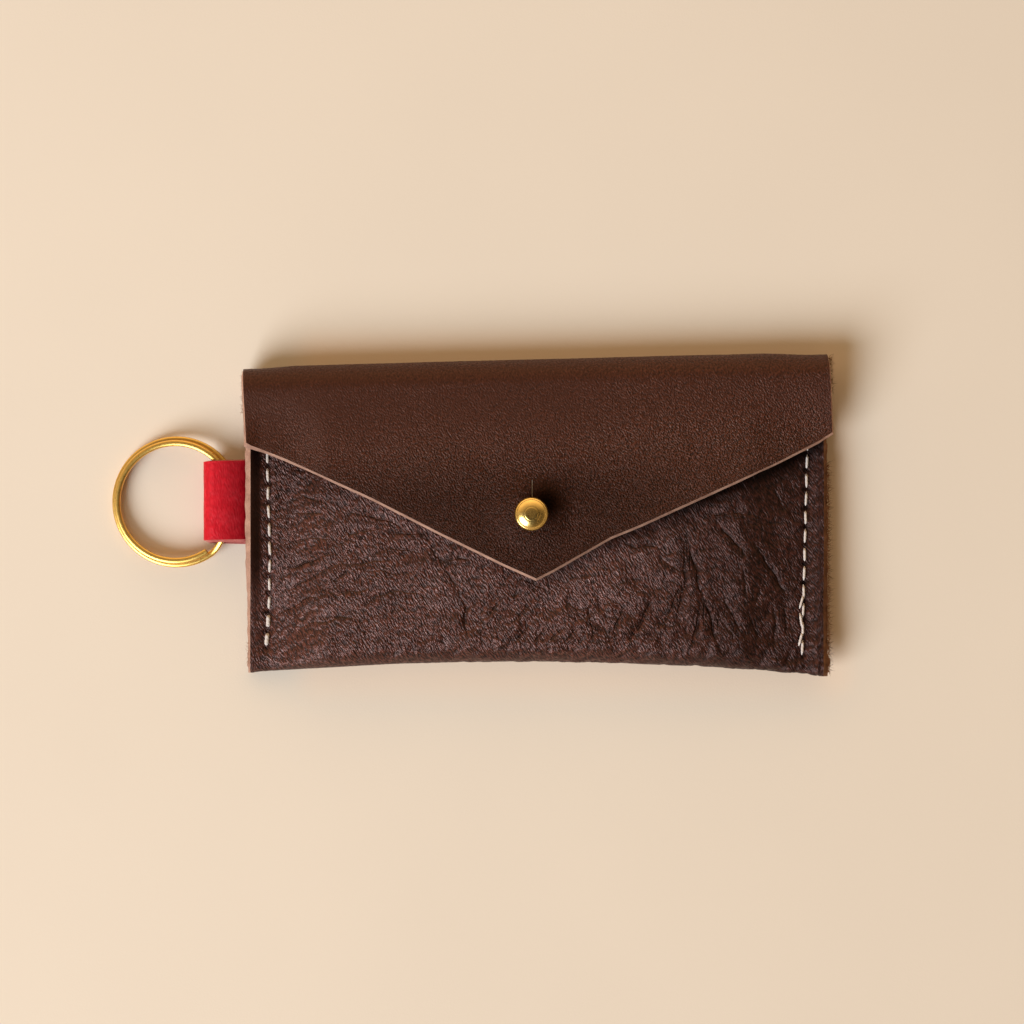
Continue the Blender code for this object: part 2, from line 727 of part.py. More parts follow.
def least_coil_gap():
    """The lower coil's top to the upper coil's underside, over the stretch where both lie."""
    first = RING_STEP_ANGLE + RING_STEP_SPAN
    gaps = []
    for i in range(RING_STEPS_PER_TURN + 1):
        angle = mix(first, RING_STEP_ANGLE + 2 * pi, i / RING_STEPS_PER_TURN)
        lower, upper = wire_place(angle), wire_place(angle + 2 * pi)
        gaps.append(upper[1] - lower[1] - RING_WIRE_HEIGHT)
    return min(gaps)


def build():
    clear_scene()
    brown = make_material("brown_leather", (0.065, 0.028, 0.018), 0.5)
    fold_brown = make_material("fold_leather", (0.065, 0.028, 0.018), 0.5)
    flap_brown = make_material("flap_leather", (0.068, 0.030, 0.019), 0.55)
    hole_brown = make_material("buttonhole_leather", (0.060, 0.026, 0.017), 0.55)
    red = make_material("red_leather", (0.48, 0.012, 0.018), 0.5)
    cream_left = make_material("cream_thread_left", (0.72, 0.62, 0.52), 0.8)
    cream_right = make_material("cream_thread_right", (0.72, 0.62, 0.52), 0.8)
    gold = make_material("gold_plate", (0.80, 0.55, 0.20), 0.22, 1.0)
    brass = make_material("brass", (0.72, 0.52, 0.24), 0.2, 1.0)
    screw_brass = make_material("screw_brass", (0.66, 0.47, 0.22), 0.35, 1.0)

    stitch_holes = stitch_hole_cutter()
    screw_hole = cylinder_cutter("screw_hole_cutter", STUD_BORE_RADIUS + LAYER_GAP, (STUD_X, STUD_Y),
                                 FRONT_TOP - LEATHER - OVERRUN, FRONT_TOP + OVERRUN)
    slit = slit_cutter()
    make_pouch_body(brown, (screw_hole, stitch_holes))
    make_top_fold(fold_brown)
    make_flap(flap_brown, slit)
    make_buttonhole(hole_brown, slit)
    make_loop_tab(red, stitch_holes)
    make_split_ring(gold)
    make_stud(brass)
    make_stud_screw(screw_brass)
    make_thread("left_seam_thread", -1, cream_left)
    make_thread("right_seam_thread", 1, cream_right)


build()
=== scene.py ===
from math import atan2, cos, pi, radians, sin, tan

import bpy
import numpy as np
from mathutils import Matrix, Vector, noise


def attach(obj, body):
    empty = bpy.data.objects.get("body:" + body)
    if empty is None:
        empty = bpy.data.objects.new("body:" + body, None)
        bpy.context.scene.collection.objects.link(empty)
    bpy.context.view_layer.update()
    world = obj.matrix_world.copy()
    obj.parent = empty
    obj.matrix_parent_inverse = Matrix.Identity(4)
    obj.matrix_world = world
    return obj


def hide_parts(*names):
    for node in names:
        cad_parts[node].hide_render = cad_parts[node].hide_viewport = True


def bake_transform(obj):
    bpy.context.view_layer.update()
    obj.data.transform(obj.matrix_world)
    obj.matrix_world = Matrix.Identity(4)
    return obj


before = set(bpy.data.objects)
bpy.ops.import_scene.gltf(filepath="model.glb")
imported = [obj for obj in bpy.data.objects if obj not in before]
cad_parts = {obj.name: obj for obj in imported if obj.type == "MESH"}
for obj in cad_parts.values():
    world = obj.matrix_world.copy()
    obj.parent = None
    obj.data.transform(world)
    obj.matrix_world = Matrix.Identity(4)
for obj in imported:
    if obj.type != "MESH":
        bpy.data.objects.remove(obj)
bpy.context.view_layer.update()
mm = 0.001


# General help

def clearSelection():
    if bpy.context.mode != "OBJECT":
        bpy.ops.object.mode_set(mode="OBJECT")
    bpy.ops.object.select_all(action="DESELECT")


def selectOnly(pieces):
    clearSelection()
    for piece in pieces:
        piece.select_set(True)
    bpy.context.view_layer.objects.active = pieces[0]


def newest(name):
    made = bpy.context.object
    made.name = name
    made.data.name = name
    return made


def addShape(operator, name, **settings):
    clearSelection()
    operator(**settings)
    return newest(name)


def applyModifiers(piece):
    selectOnly([piece])
    for modifier in list(piece.modifiers):
        bpy.ops.object.modifier_apply(modifier=modifier.name)


def bakePlace(piece):
    selectOnly([piece])
    bpy.ops.object.transform_apply(location=True, rotation=True, scale=True)


def joinPieces(pieces, name):
    selectOnly(pieces)
    bpy.ops.object.join()
    return newest(name)


def copyOf(shape):
    copy = shape.copy()
    copy.data = shape.data.copy()
    bpy.context.scene.collection.objects.link(copy)
    return copy


def startEdit():
    bpy.ops.object.mode_set(mode="EDIT")
    bpy.ops.mesh.select_all(action="SELECT")


def endEdit():
    bpy.ops.object.mode_set(mode="OBJECT")


def closeUp():
    bpy.ops.mesh.select_all(action="SELECT")
    bpy.ops.mesh.normals_make_consistent(inside=False)
    endEdit()


def sliceAlong(axis, places):
    startEdit()
    for place in places:
        bpy.ops.mesh.select_all(action="SELECT")
        bpy.ops.mesh.bisect(plane_co=[place * share for share in axis], plane_no=axis)
    endEdit()


def pointsOf(piece):
    places = np.zeros(len(piece.data.vertices) * 3)
    piece.data.vertices.foreach_get("co", places)
    return places.reshape(-1, 3)


def setPoints(piece, places):
    piece.data.vertices.foreach_set("co", np.asarray(places, float).ravel())
    piece.data.update()


def pushOut(piece, relief):
    setPoints(piece, pointsOf(piece) + normalsOf(piece) * relief[:, None])


def normalsOf(piece):
    normals = np.zeros(len(piece.data.vertices) * 3)
    piece.data.vertices.foreach_get("normal", normals)
    return normals.reshape(-1, 3)


def smoothShade(piece, angle=40):
    selectOnly([piece])
    bpy.ops.object.shade_smooth_by_angle(angle=radians(angle))


def giveMaterials(piece, materials):
    piece.data.materials.clear()
    for material in materials:
        piece.data.materials.append(material)


def setFlatMap(piece, flatX, flatY):
    # the leather's own flat coordinates, in metres, as its UV map
    layer = piece.data.uv_layers[0] if piece.data.uv_layers else piece.data.uv_layers.new()
    layer.name = "strip"
    corner = np.zeros(len(piece.data.loops), int)
    piece.data.loops.foreach_get("vertex_index", corner)
    layer.data.foreach_set("uv", np.stack([flatX[corner], flatY[corner]], axis=1).ravel())


def setValues(piece, name, values):
    made = piece.data.attributes.get(name) or piece.data.attributes.new(name, "FLOAT", "POINT")
    made.data.foreach_set("value", np.asarray(values, float))


def setLook(piece, paintedShading, grain):
    # painted light and shade: how much of its colour and of its reflections' tint each point keeps, and how much of its
    # grain
    setValues(piece, "paintedShading", paintedShading)
    setValues(piece, "grain", grain)


def smooth(share):
    share = np.clip(share, 0, 1)
    return share * share * (3 - 2 * share)


def climb(value, start, end):
    # from 0 to 1 between two places in mm
    return smooth((value - start * mm) / ((end - start) * mm))


def mix(start, end, share):
    return start + (end - start) * share


def bell(distance, width):
    return np.exp(-(distance / width) ** 2)


def noiseAt(x, y, sizeX, sizeY, seed):
    # the sizes are in mm
    spots = zip(x / (sizeX * mm), y / (sizeY * mm))
    return np.array([noise.noise(Vector((a, b, seed))) for a, b in spots])


def inMetres(sizes):
    return {name: size * mm for name, size in sizes.items()}


# Camera, light and table

photoView = {
    "centre": (-5.04 * mm, 0.67 * mm),
    "height": 4 * mm,                # the frame's width holds at this height
    "frameWidth": 194.6 * mm,
    "distance": 650 * mm,
}

studioLight = {
    "towards": (-0.72, -0.69),       # the key light stands lower left of the photo
    "elevation": 37.5,
    "distance": 2.3,
    "size": 1.65,
    "keyColour": (0.715, 0.797, 0.875),   # the key and the fill add up to about 1 on the table
    "fillColour": (1.0, 0.74, 0.44),
    "round": [    # how bright the studio is round about, from the left through the lower side
        (0.0, 0.45), (0.17, 0.36), (0.28, 0.20), (0.40, 0.17), (0.495, 0.17), (0.55, 0.25),
        (0.62, 1.0), (0.76, 1.8), (0.90, 1.3), (1.0, 0.50)],
    "overhead": [(0.0, 1.0), (0.45, 0.95), (0.78, 0.42), (0.92, 0.24), (0.98, 0.17)],   # darker straight above
    "wall": [(0.25, 0.55), (0.36, 0)],    # it is never darker than this near the table
    "strip": (0.36, 0.50),                # a narrow reflector stands between these bearings and heights
    "stripHeight": (0.80, 0.85),
}

tableTop = {
    "size": 3.0,
    "colour": (0.783, 0.648, 0.518),
    # painted light falloff: the table's colour grows paler towards the left and the back
    "paler": (-0.34, 0.20, 0),       # share by which it grows paler per metre along X and Y
    # painted warm light: the table is tinted warmer round the pouch, where its shadows fall
    "paintedWarmthCentre": (0.007, 0, 0),     # the table is warmer round a rectangle with this centre and half size
    "paintedWarmthHalf": (0.0485, 0.0300, 1),
    "paintedWarmthReach": 7.5 * mm,
    "paintedWarmthTint": (1.12, 1.03, 0.965),
}


def addNode(tree, kind, inputs=(), **settings):
    made = tree.nodes.new("ShaderNode" + kind)
    for key, value in settings.items():
        setattr(made, key, value)
    for key, value in dict(inputs).items():
        if isinstance(value, bpy.types.NodeSocket):
            tree.links.new(value, made.inputs[key])
        else:
            made.inputs[key].default_value = value
    return made


def newMaterial(name, **sockets):
    material = bpy.data.materials.new(name)
    material.use_nodes = True
    shader = material.node_tree.nodes["Principled BSDF"]
    for key, value in sockets.items():
        shader.inputs[key.replace("_", " ")].default_value = value
    return material, material.node_tree, shader


def addRamp(tree, factor, stops):
    # each stop is a place with a colour, or with one number for a grey
    ramp = addNode(tree, "ValToRGB", {"Fac": factor})
    elements = ramp.color_ramp.elements
    while len(elements) < len(stops):
        elements.new(0.5)
    for element, (place, colour) in zip(elements, stops):
        element.position = place
        element.color = (*np.broadcast_to(colour, 3), 1)
    return ramp.outputs["Color"]


def calculate(tree, operation, *values):
    return addNode(tree, "Math", enumerate(values), operation=operation).outputs[0]


def vectorMath(tree, operation, *values):
    made = addNode(tree, "VectorMath", enumerate(values), operation=operation)
    return made.outputs["Value" if operation in ("DOT_PRODUCT", "LENGTH") else "Vector"]


def scaled(tree, vector, factor):
    return addNode(tree, "VectorMath", {0: vector, "Scale": factor}, operation="SCALE").outputs["Vector"]


def remap(tree, value, low, high, start=0.0, end=1.0, **settings):
    return addNode(tree, "MapRange", {"Value": value, "From Min": low, "From Max": high,
                                      "To Min": start, "To Max": end}, **settings).outputs[0]


def addNoise(tree, place, scale, detail, output="Fac", normalize=True, **sockets):
    sockets.update({"Vector": place, "Scale": scale, "Detail": detail})
    return addNode(tree, "TexNoise", sockets, normalize=normalize).outputs[output]


def addBump(tree, height, distance, strength=1.0):
    return addNode(tree, "Bump", {"Height": height, "Distance": distance, "Strength": strength}).outputs["Normal"]


def objectPlace(tree):
    return addNode(tree, "TexCoord").outputs["Object"]


def feed(node, **sockets):
    for key, socket in sockets.items():
        node.id_data.links.new(socket, node.inputs[key.replace("_", " ")])


def makeCamera():
    x, y = photoView["centre"]
    bpy.ops.object.camera_add(location=(x, y, photoView["height"] + photoView["distance"]), rotation=(0, 0, 0))
    camera = newest("photoCamera")
    camera.data.sensor_width = 36
    camera.data.lens = 36 * photoView["distance"] / photoView["frameWidth"]
    camera.data.clip_start = 0.01
    camera.data.clip_end = 20
    bpy.context.scene.camera = camera


def makeLight():
    look = studioLight
    elevation = radians(look["elevation"])
    side = Vector((*look["towards"], 0)).normalized() * cos(elevation)
    direction = Vector((side.x, side.y, sin(elevation)))
    bpy.ops.object.light_add(type="AREA", location=direction * look["distance"])
    key = newest("keyLight")
    key.rotation_euler = direction.to_track_quat("Z", "Y").to_euler()
    key.data.shape = "DISK"
    key.data.size = look["size"]
    level = max(look["keyColour"])
    key.data.color = [c / level for c in look["keyColour"]]
    key.data.energy = pi ** 2 * look["distance"] ** 2 * level / sin(elevation)


def flatTop(low, high, level):
    return [(low, 0), (low + 0.01, level), (high - 0.01, level), (high, 0)]


def makeStudio():
    look = studioLight
    world = bpy.data.worlds.new("studio")
    bpy.context.scene.world = world
    world.use_nodes = True
    tree = world.node_tree
    axes = addNode(tree, "SeparateXYZ", {0: addNode(tree, "TexCoord").outputs["Generated"]}).outputs
    bearing = remap(tree, calculate(tree, "ARCTAN2", axes["Y"], axes["X"]), -pi, pi)
    sides = addRamp(tree, bearing, look["round"])
    overhead = addRamp(tree, axes["Z"], look["overhead"])
    around = addRamp(tree, bearing, flatTop(*look["strip"], 1.0))
    aloft = addRamp(tree, axes["Z"], flatTop(*look["stripHeight"], 0.9))
    strip = vectorMath(tree, "MULTIPLY", around, aloft)
    level = vectorMath(tree, "MULTIPLY_ADD", sides, overhead, strip)
    level = vectorMath(tree, "MAXIMUM", level, addRamp(tree, axes["Z"], look["wall"]))
    feed(tree.nodes["Background"], Color=vectorMath(tree, "MULTIPLY", level, look["fillColour"]))


def makeTable():
    table = addShape(bpy.ops.mesh.primitive_plane_add, "tableTop", size=tableTop["size"], location=(0, 0, 0))
    material, tree, shader = newMaterial("paleTable", Roughness=0.9, Specular_IOR_Level=0.1)
    place = objectPlace(tree)
    base = np.array(tableTop["colour"])
    tone = addRamp(tree, addNoise(tree, place, 14.0, 3.0), [(0.3, base * 0.985), (0.7, base * 1.015)])
    # painted light falloff across the table
    paintedFalloff = vectorMath(tree, "DOT_PRODUCT", place, tableTop["paler"])
    paintedFalloffTone = scaled(tree, tone, calculate(tree, "ADD", paintedFalloff, 1.0))
    # painted warm light, strongest at the pouch's outline and fading outwards
    away = vectorMath(tree, "ABSOLUTE", vectorMath(tree, "SUBTRACT", place, tableTop["paintedWarmthCentre"]))
    away = vectorMath(tree, "MAXIMUM", vectorMath(tree, "SUBTRACT", away, tableTop["paintedWarmthHalf"]), (0, 0, 0))
    near = remap(tree, vectorMath(tree, "LENGTH", away), 0.0, tableTop["paintedWarmthReach"], 1.0, 0.0,
                 interpolation_type="SMOOTHSTEP")
    excess = [share - 1 for share in tableTop["paintedWarmthTint"]]
    paintedWarmth = vectorMath(tree, "ADD", scaled(tree, excess, near), (1, 1, 1))
    feed(shader, Base_Color=vectorMath(tree, "MULTIPLY", paintedFalloffTone, paintedWarmth),
         Normal=addBump(tree, addNoise(tree, place, 2400.0, 2.0), 0.03 * mm, 0.5))
    giveMaterials(table, [material])


makeCamera()
makeLight()
makeStudio()
makeTable()
print("camera, light and table are in place")


# Leather materials

frontLook = {
    # the valleys' dark tone and the creases' darkening are partly painted shade, the paler ridges partly painted
    # highlight
    "tones": [(0.0030, 0.0010, 0.0008), (0.028, 0.0080, 0.0051), (0.094, 0.0285, 0.0192)],    # valleys, middle, ridges
    "stroke": (0.28, 1.0, 33, 0.150),   # hair-like wrinkles: width and length mm, degrees left of upright, depth mm
    "patchy": 0.70,                     # the grain's least strength, between its strongest patches
    "toneSwing": 1.5,                   # how much paler the ridges are than the valleys
    "crack": (0.60, 1.25, 30, 0.028),   # small mounds parted by narrow valleys
    "fold": (3.2, 5.0, -55, 0.26),      # soft folds that catch or lose the light as a whole
    "roughness": (0.23, 0.45), "specular": 0.55, "tint": (1.0, 0.63, 0.56),
}

flapLook = {
    "tones": [(0.008, 0.0020, 0.0009), (0.034, 0.0082, 0.0034), (0.070, 0.0182, 0.0094)],
    "stroke": (0.28, 0.44, 30, 0.128),
    "patchy": 0.75,
    "toneSwing": 1.3,
    "crack": (0.60, 0.85, 25, 0.036),
    "fold": (5, 5, 0, 0.05),
    "roughness": (0.26, 0.47), "specular": 0.37, "tint": (1.0, 0.60, 0.47),
}

redLook = {
    "tones": [(0.36, 0.0010, 0.0060), (0.46, 0.0022, 0.0110), (0.54, 0.0060, 0.0160)],
    "stroke": (0.3, 0.9, 12, 0.030),
    "patchy": 0.8,
    "toneSwing": 0.5,
    "crack": (1.5, 2.0, 0, 0.004),
    "fold": (4, 4, 0, 0.08),
    "roughness": (0.42, 0.54), "specular": 0.34, "tint": (1.0, 0.52, 0.50),
}


def turnedNoise(tree, place, mark, seed, detail):
    width, length, lean, depth = mark
    turned = addNode(tree, "Mapping", {"Vector": place, "Location": (seed * mm, seed * mm, 0),
                                       "Rotation": (0, 0, radians(lean)), "Scale": (width * mm, length * mm, 1)},
                     vector_type="TEXTURE").outputs["Vector"]
    bend = addNoise(tree, turned, 0.3, 2.0, "Color")
    bent = vectorMath(tree, "MULTIPLY_ADD", bend, (1.2, 1.2, 0), turned)
    return addNoise(tree, bent, 1.0, detail, normalize=False), depth


def billow(tree, wave):
    # puffy mounds parted by narrow valleys: 0 in a valley, about 1 on a mound
    square = calculate(tree, "MULTIPLY_ADD", wave, wave, 0.0015)
    return calculate(tree, "MULTIPLY", calculate(tree, "SQRT", square), 3.2)


def addUp(tree, terms, total=0.0):
    for socket, weight in terms:
        total = calculate(tree, "MULTIPLY_ADD", socket, weight, total)
    return total


def leatherMaterial(name, look):
    material, tree, shader = newMaterial(name, Specular_IOR_Level=look["specular"])
    flat = addNode(tree, "UVMap", uv_map="strip").outputs["UV"]
    hair, hairDepth = turnedNoise(tree, flat, look["stroke"], 3.0, 0.7)
    wave, crackDepth = turnedNoise(tree, flat, look["crack"], 17.0, 2.0)
    fold, foldDepth = turnedNoise(tree, flat, look["fold"], 29.0, 1.5)
    crack = billow(tree, wave)
    grain, paintedShading, side, depth = [addNode(tree, "Attribute", attribute_name=key).outputs["Fac"]
                                 for key in ("grain", "paintedShading", "creaseSide", "creaseDepth")]
    square = calculate(tree, "MULTIPLY", side, side)
    narrow = calculate(tree, "EXPONENT", calculate(tree, "MULTIPLY", square, -1.9))
    groove = calculate(tree, "MULTIPLY", narrow, depth)
    patchy = remap(tree, addNoise(tree, flat, 230.0, 2.0), 0.35, 0.65, look["patchy"])
    hair = calculate(tree, "MULTIPLY", hair, patchy)
    height = addUp(tree, [(hair, hairDepth), (crack, crackDepth), (fold, foldDepth), (groove, -1.4)])
    height = calculate(tree, "MULTIPLY", height, grain)
    cloud = addNoise(tree, flat, 90.0, 4.0)
    # darker in the valleys and creases: painted shade; paler on the ridges: partly painted highlight
    tone = addUp(tree, [(hair, look["toneSwing"]), (crack, 0.35), (cloud, 0.25), (groove, -2.2)], 0.17)
    even = addNode(tree, "Mix", {0: grain, 2: 0.5, 3: tone}).outputs[0]
    colour = addRamp(tree, even, list(zip((0.0, 0.45, 1.0), look["tones"])))
    rough = remap(tree, hair, -0.35, 0.35, *reversed(look["roughness"]))
    rougher = remap(tree, grain, 0.5, 1.0, 0.16, 0.0)
    # the painted light and shade scales both the colour and the tint of the reflections
    feed(shader, Base_Color=scaled(tree, colour, paintedShading), Specular_Tint=scaled(tree, look["tint"], paintedShading),
         Roughness=calculate(tree, "ADD", rough, rougher), Normal=addBump(tree, height, mm))
    return material


def rawMaterial(name, tones, fibre=0.12 * mm):
    # cut edge or flesh side: short matted fibres
    material, tree, shader = newMaterial(name, Roughness=0.95, Specular_IOR_Level=0.15)
    place = objectPlace(tree)
    fuzz = addNoise(tree, place, 1 / fibre, 4.0, Roughness=0.7, Distortion=1.2)
    both = calculate(tree, "MULTIPLY_ADD", addNoise(tree, place, 420.0, 2.0), 0.6, fuzz)
    colour = addRamp(tree, remap(tree, both, 0.55, 1.05), list(zip((0.0, 0.5, 1.0), tones)))
    feed(shader, Base_Color=colour, Normal=addBump(tree, fuzz, 0.10 * mm))
    return material


frontLeather = leatherMaterial("frontLeather", frontLook)
flapLeatherFinish = leatherMaterial("flapLeather", flapLook)
redLeather = leatherMaterial("redLeather", redLook)
rawEdge = rawMaterial("rawEdge", [(0.22, 0.105, 0.070), (0.40, 0.215, 0.150), (0.56, 0.33, 0.235)])
suedeEdge = rawMaterial("suedeEdge", [(0.085, 0.032, 0.013), (0.18, 0.074, 0.032), (0.29, 0.135, 0.068)])
slitLip = rawMaterial("slitLip", [(0.34, 0.27, 0.22), (0.50, 0.42, 0.36), (0.64, 0.56, 0.50)])
redRawEdge = rawMaterial("redRawEdge", [(0.30, 0.035, 0.030), (0.46, 0.115, 0.095), (0.62, 0.26, 0.22)])
fleshSide = rawMaterial("fleshSide", [(0.075, 0.034, 0.022), (0.115, 0.056, 0.038), (0.17, 0.088, 0.060)],
                        fibre=0.3 * mm)
print("leather materials are ready")


# The pouch: one strip of leather, folded up in front and over into the flap

pouch = inMetres({
    "width": 110.6, "heightLeft": 57.9, "heightRight": 60.8, "leather": 1.2, "layerGap": 0.3, "flapGap": 0.36,
    "pocketGap": 5.6, "pocketRamp": 13, "backRampLeft": 8, "backRampRight": 10, "seamRiseLeft": 0.8,
    "seamRiseRightTop": 0.9, "seamRiseRightBottom": 3.5, "bottomDrawIn": 1.75, "bottomDrawLeft": 40,
    "bottomDrawRight": 50, "bottomDropRight": 0.5, "stripFlare": 1.1, "mouthSetback": 1.5, "seamInset": 3.2,
    "seamInsetRightBottom": 4.9, "seamEndTop": 2.2, "seamEndBottom": 4.4, "seamEndRightBottom": 2.9,
    "stitchPitch": 3.3, "seamDriftLeft": 0.75, "seamDriftRight": 0.55, "seamBow": 0.45, "thread": 0.5,
    "threadGap": 0.2, "edgeCurl": 1.5,
    "trimRight": 0.45,    # the cut edge at the right stands this far in
})

loop = inMetres({
    "width": 15.6, "middle": 2.6, "leather": 1.1, "reach": 8.4, "root": 2.2, "skew": 0.7, "spreadRun": 14,
    "ringGap": 0.3,
})

halfWidth = pouch["width"] / 2
leather, layerGap, seamInset, pocketRamp = [pouch[key] for key in ("leather", "layerGap", "seamInset", "pocketRamp")]
meanHeight = (pouch["heightLeft"] + pouch["heightRight"]) / 2
bottomY = -meanHeight / 2
foldAngle = atan2(pouch["heightRight"] - pouch["heightLeft"], pouch["width"])
loopStack = 2 * loop["leather"] + 3 * layerGap
frontTop = 2 * leather + pouch["pocketGap"]
closedHeight = frontTop + pouch["flapGap"] + leather
foldRadius = closedHeight / 2
foldMiddleRadius = foldRadius - leather / 2
tangentMiddle = -bottomY - foldRadius / cos(foldAngle)


def upwards(y):
    return np.clip((y - bottomY) / meanHeight, 0, 1)


def rightInset(y):
    return mix(pouch["seamInsetRightBottom"], seamInset, upwards(y))


def insideLeft(x):
    return x + halfWidth - seamInset


def insideRight(x, y):
    return halfWidth - rightInset(y) - x


def fullness(x, y, ramp):
    return smooth(insideLeft(x) / ramp) * smooth(insideRight(x, y) / ramp)


def besideLoop(y):
    beyond = abs(y - loop["middle"]) - (loop["width"] / 2 + loop["skew"] + layerGap)
    return 1 - smooth(beyond / loop["spreadRun"])


def pocketGap(x, y):
    full = fullness(x, y, pocketRamp)
    spread = (loopStack - layerGap) * besideLoop(y) * (1 - smooth(insideLeft(x) / pocketRamp))
    curl = pouch["edgeCurl"] * besideLoop(y) * smooth(-insideLeft(x) / seamInset)
    return mix(layerGap + spread, pouch["pocketGap"], full) + curl


def backZ(x, y):
    left = pouch["seamRiseLeft"] * (1 - smooth(insideLeft(x) / pouch["backRampLeft"]))
    riseRight = mix(pouch["seamRiseRightBottom"], pouch["seamRiseRightTop"], upwards(y))
    return left + riseRight * (1 - smooth(insideRight(x, y) / pouch["backRampRight"]))


def frontZ(x, y):
    return backZ(x, y) + 2 * leather + pocketGap(x, y)


def tangentY(x):
    return tangentMiddle + x * tan(foldAngle)


def mouthY(x):
    return tangentY(x) - pouch["mouthSetback"]


def flared(x, y):
    start = loop["middle"] + loop["width"] / 2
    share = smooth((y - start) / (tangentY(x) - start))
    return x - pouch["stripFlare"] * share * (0.5 - x / pouch["width"])


def bottomSection(x):
    corner = bottomY - pouch["bottomDropRight"] * (x / pouch["width"] + 0.5)
    drawn = smooth(insideLeft(x) / pouch["bottomDrawLeft"]) * smooth(insideRight(x, bottomY) / pouch["bottomDrawRight"])
    edge = mix(corner, bottomY + pouch["bottomDrawIn"], drawn ** 0.5)
    low, high = backZ(x, edge), frontZ(x, edge)
    radius = (high - low) / 2
    return edge + radius, radius, low + radius


def seamX(side, y):
    # the sewn line strays a little inwards from the straight one
    if side > 0:
        return halfWidth - rightInset(y) - pouch["seamDriftRight"]
    bow = pouch["seamBow"] * (bell(y + 7 * mm, 9 * mm) - climb(-y, 18, 26))
    return seamInset - halfWidth + pouch["seamDriftLeft"] + bow


def seamPlace(side, share):
    low = bottomY + pouch["seamEndRightBottom" if side > 0 else "seamEndBottom"]
    y = mix(low, mouthY(side * (halfWidth - seamInset)) - pouch["seamEndTop"], share)
    return float(seamX(side, y)), float(y)


def seamHoles(side):
    low, high = seamPlace(side, 0)[1], seamPlace(side, 1)[1]
    count = int((high - low) / pouch["stitchPitch"])
    return [seamPlace(side, i / count) for i in range(count + 1)]


